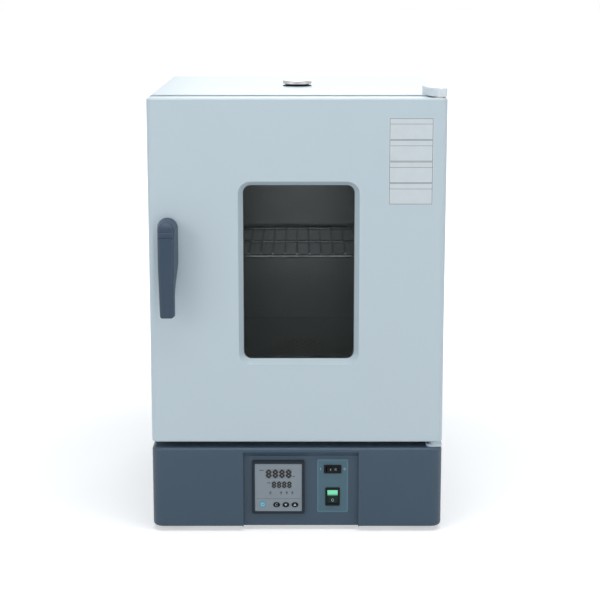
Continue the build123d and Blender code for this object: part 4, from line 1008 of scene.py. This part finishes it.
low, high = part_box("fan_rocker")
z = (low.z + high.z) / 2
bar_x, ring_x = (low.x + (high.x - low.x) * share for share in (0.30, 0.72))
bar_mark = upright_strip(bar_x, z - 1.7 * mm, z + 1.7 * mm, 0.7 * mm)
ring_mark = line(arc(ring_x, z, 1.4 * mm, 0, 350, 18), 0.45 * mm)
mesh = lay_on(plates(bar_mark + ring_mark, low.y), "fan_rocker", ink)
keep("fan_rocker_mark", mesh, "print_pale", "fan_rocker")
print("marks on keys and rockers done")

# %% [markdown]
# ## The card on the door
#
# The door carries a pale card of four ruled fields in its upper right corner. The fields are left empty
# here: a blank card with its rules, the size and place of the real one.

# %% Blank card with four ruled fields
card_left = door_high.x - 95.4 * mm
card_right = door_high.x - 22.3 * mm
card_top = door_high.z - 31.9 * mm
card_bottom = door_high.z - 173.5 * mm
card_thickness = 0.15 * mm
card_front = door_low.y - card_thickness
card_bottom_edge = [(card_left, card_bottom), (card_right, card_bottom)]
card_top_edge = [(card_right, card_top), (card_left, card_top)]
card = plates([card_bottom_edge + card_top_edge], card_front, card_thickness)
keep("door_card", card, "card_stock", "door")

fields = 4
field = (card_top - card_bottom) / fields
rule_in = 1.6 * mm
left, right = card_left + rule_in, card_right - rule_in
rules = []
for k in range(fields):
    top = card_top - k * field - rule_in * 0.5
    bottom = top - field + rule_in
    heading = top - field * 0.25
    rules += line([(left, bottom), (right, bottom), (right, top), (left, top)], 0.55 * mm, loop=True)
    rules += line([(left, heading), (right, heading)], 0.45 * mm)
keep("door_card_rules", plates(rules, card_front - ink), "print_dark", "door")
print("card", round(card_right - card_left, 4), "by", round(card_top - card_bottom, 4))

# %% [markdown]
# ## Light, floor and background
#
# The picture was lit as white goods are: one large soft light high over the front, and fill from both
# sides. Large area lamps give the same soft edges, and a fourth one behind lights the views of the back.
# The white round the oven isn't more light on it: world and floor are white only for rays that end in the
# picture, which the next two notes explain.

# %% Lamps
def soft_lamp(name, place, target, size, watts):
    data = bpy.data.lights.new(name, "AREA")
    data.shape = "RECTANGLE"
    data.size, data.size_y = size
    data.energy = watts
    lamp = bpy.data.objects.new(name, data)
    bpy.context.scene.collection.objects.link(lamp)
    lamp.location = place
    lamp.rotation_euler = (Vector(target) - Vector(place)).to_track_quat("-Z", "Y").to_euler()
    return lamp


middle = (solid_box[0] + solid_box[1]) / 2
overhead = soft_lamp("overhead", (0.1, -0.9, 2.6), (middle.x, middle.y, 0.5), (2.2, 1.6), 32)
left_fill = soft_lamp("left_fill", (-2.2, -2.0, 1.3), middle, (1.6, 1.8), 19)
right_fill = soft_lamp("right_fill", (2.3, -1.8, 1.2), middle, (1.6, 1.8), 15)
back_fill = soft_lamp("back_fill", (0.4, 2.4, 1.8), middle, (1.8, 1.4), 16)
print("lamps:", [o.name for o in (overhead, left_fill, right_fill, back_fill)])

# %% [markdown]
# The world gives off a dim, pale blue light, and is pure white wherever the camera looks at it, straight,
# in a reflection or through the glass. A brighter world would do the same for the background, but it would
# also wash the oven out, so the rays are told apart.

# %% World
def white_rays(tree):
    """1 for rays that end in the picture: from the camera, a reflection or through glass."""
    path = tree.nodes.new("ShaderNodeLightPath")
    seen, mirrored, passed = (
        Wire(tree, path.outputs[name]) for name in ("Is Camera Ray", "Is Glossy Ray", "Is Transmission Ray")
    )
    return seen.maths("MAXIMUM", seen.maths("MAXIMUM", seen, mirrored), passed)


world = bpy.data.worlds.new("studio")
bpy.context.scene.world = world
world.use_nodes = True
world.node_tree.nodes.clear()
shown = white_rays(world.node_tree)
sky = shown.make("ShaderNodeBackground", {}, {
    "Color": blend(shown, (0.90, 0.95, 1.0), (1.0, 1.0, 1.0)), "Strength": 0.34 + shown * 0.66,
})
output = world.node_tree.nodes.new("ShaderNodeOutputWorld")
world.node_tree.links.new(sky.output, output.inputs["Surface"])
print("world:", world.name)

# %% [markdown]
# The floor glows for the same rays, by an amount that grows with the distance from the oven: near the feet
# its shadow stays, and further out the floor is as white as the world. A plain white floor would stay grey
# in the distance and show a horizon.

# %% Floor
floor_half = 40
glow_near, glow_far = 0.42, 1.0
near, far = 0.45, 1.5

place = start("studio_floor")
shown = white_rays(place.tree)
away = place.make("ShaderNodeVectorMath", {"operation": "LENGTH"}, {0: place}, out="Value")
white_out = place.make("ShaderNodeMapRange", {"interpolation_type": "SMOOTHSTEP"}, {
    "Value": away, "From Min": near, "From Max": far, "To Min": glow_near, "To Max": glow_far,
})
close(place, place.make("ShaderNodeBsdfPrincipled", {}, {
    "Base Color": (0.80, 0.81, 0.82, 1.0), "Roughness": 0.9, "Specular IOR Level": 0.1,
    "Emission Color": blend(shown * white_out, (0.0, 0.0, 0.0), (1.0, 1.0, 1.0)), "Emission Strength": 1.0,
}))
floor_mesh = bpy.data.meshes.new("floor")
floor_shape = bmesh.new()
bmesh.ops.create_grid(floor_shape, x_segments=1, y_segments=1, size=floor_half)
floor_shape.to_mesh(floor_mesh)
floor_shape.free()
floor = bpy.data.objects.new("floor", floor_mesh)
bpy.context.scene.collection.objects.link(floor)
floor_mesh.materials.append(finishes["studio_floor"])
print("floor at z 0, from x", [round(v.co.x) for v in floor_mesh.vertices][:2])

# %% [markdown]
# ## Close the frame
#
# Colours are shown through the Standard view transform.

# %% The view transform
bpy.context.scene.view_settings.view_transform = "Standard"
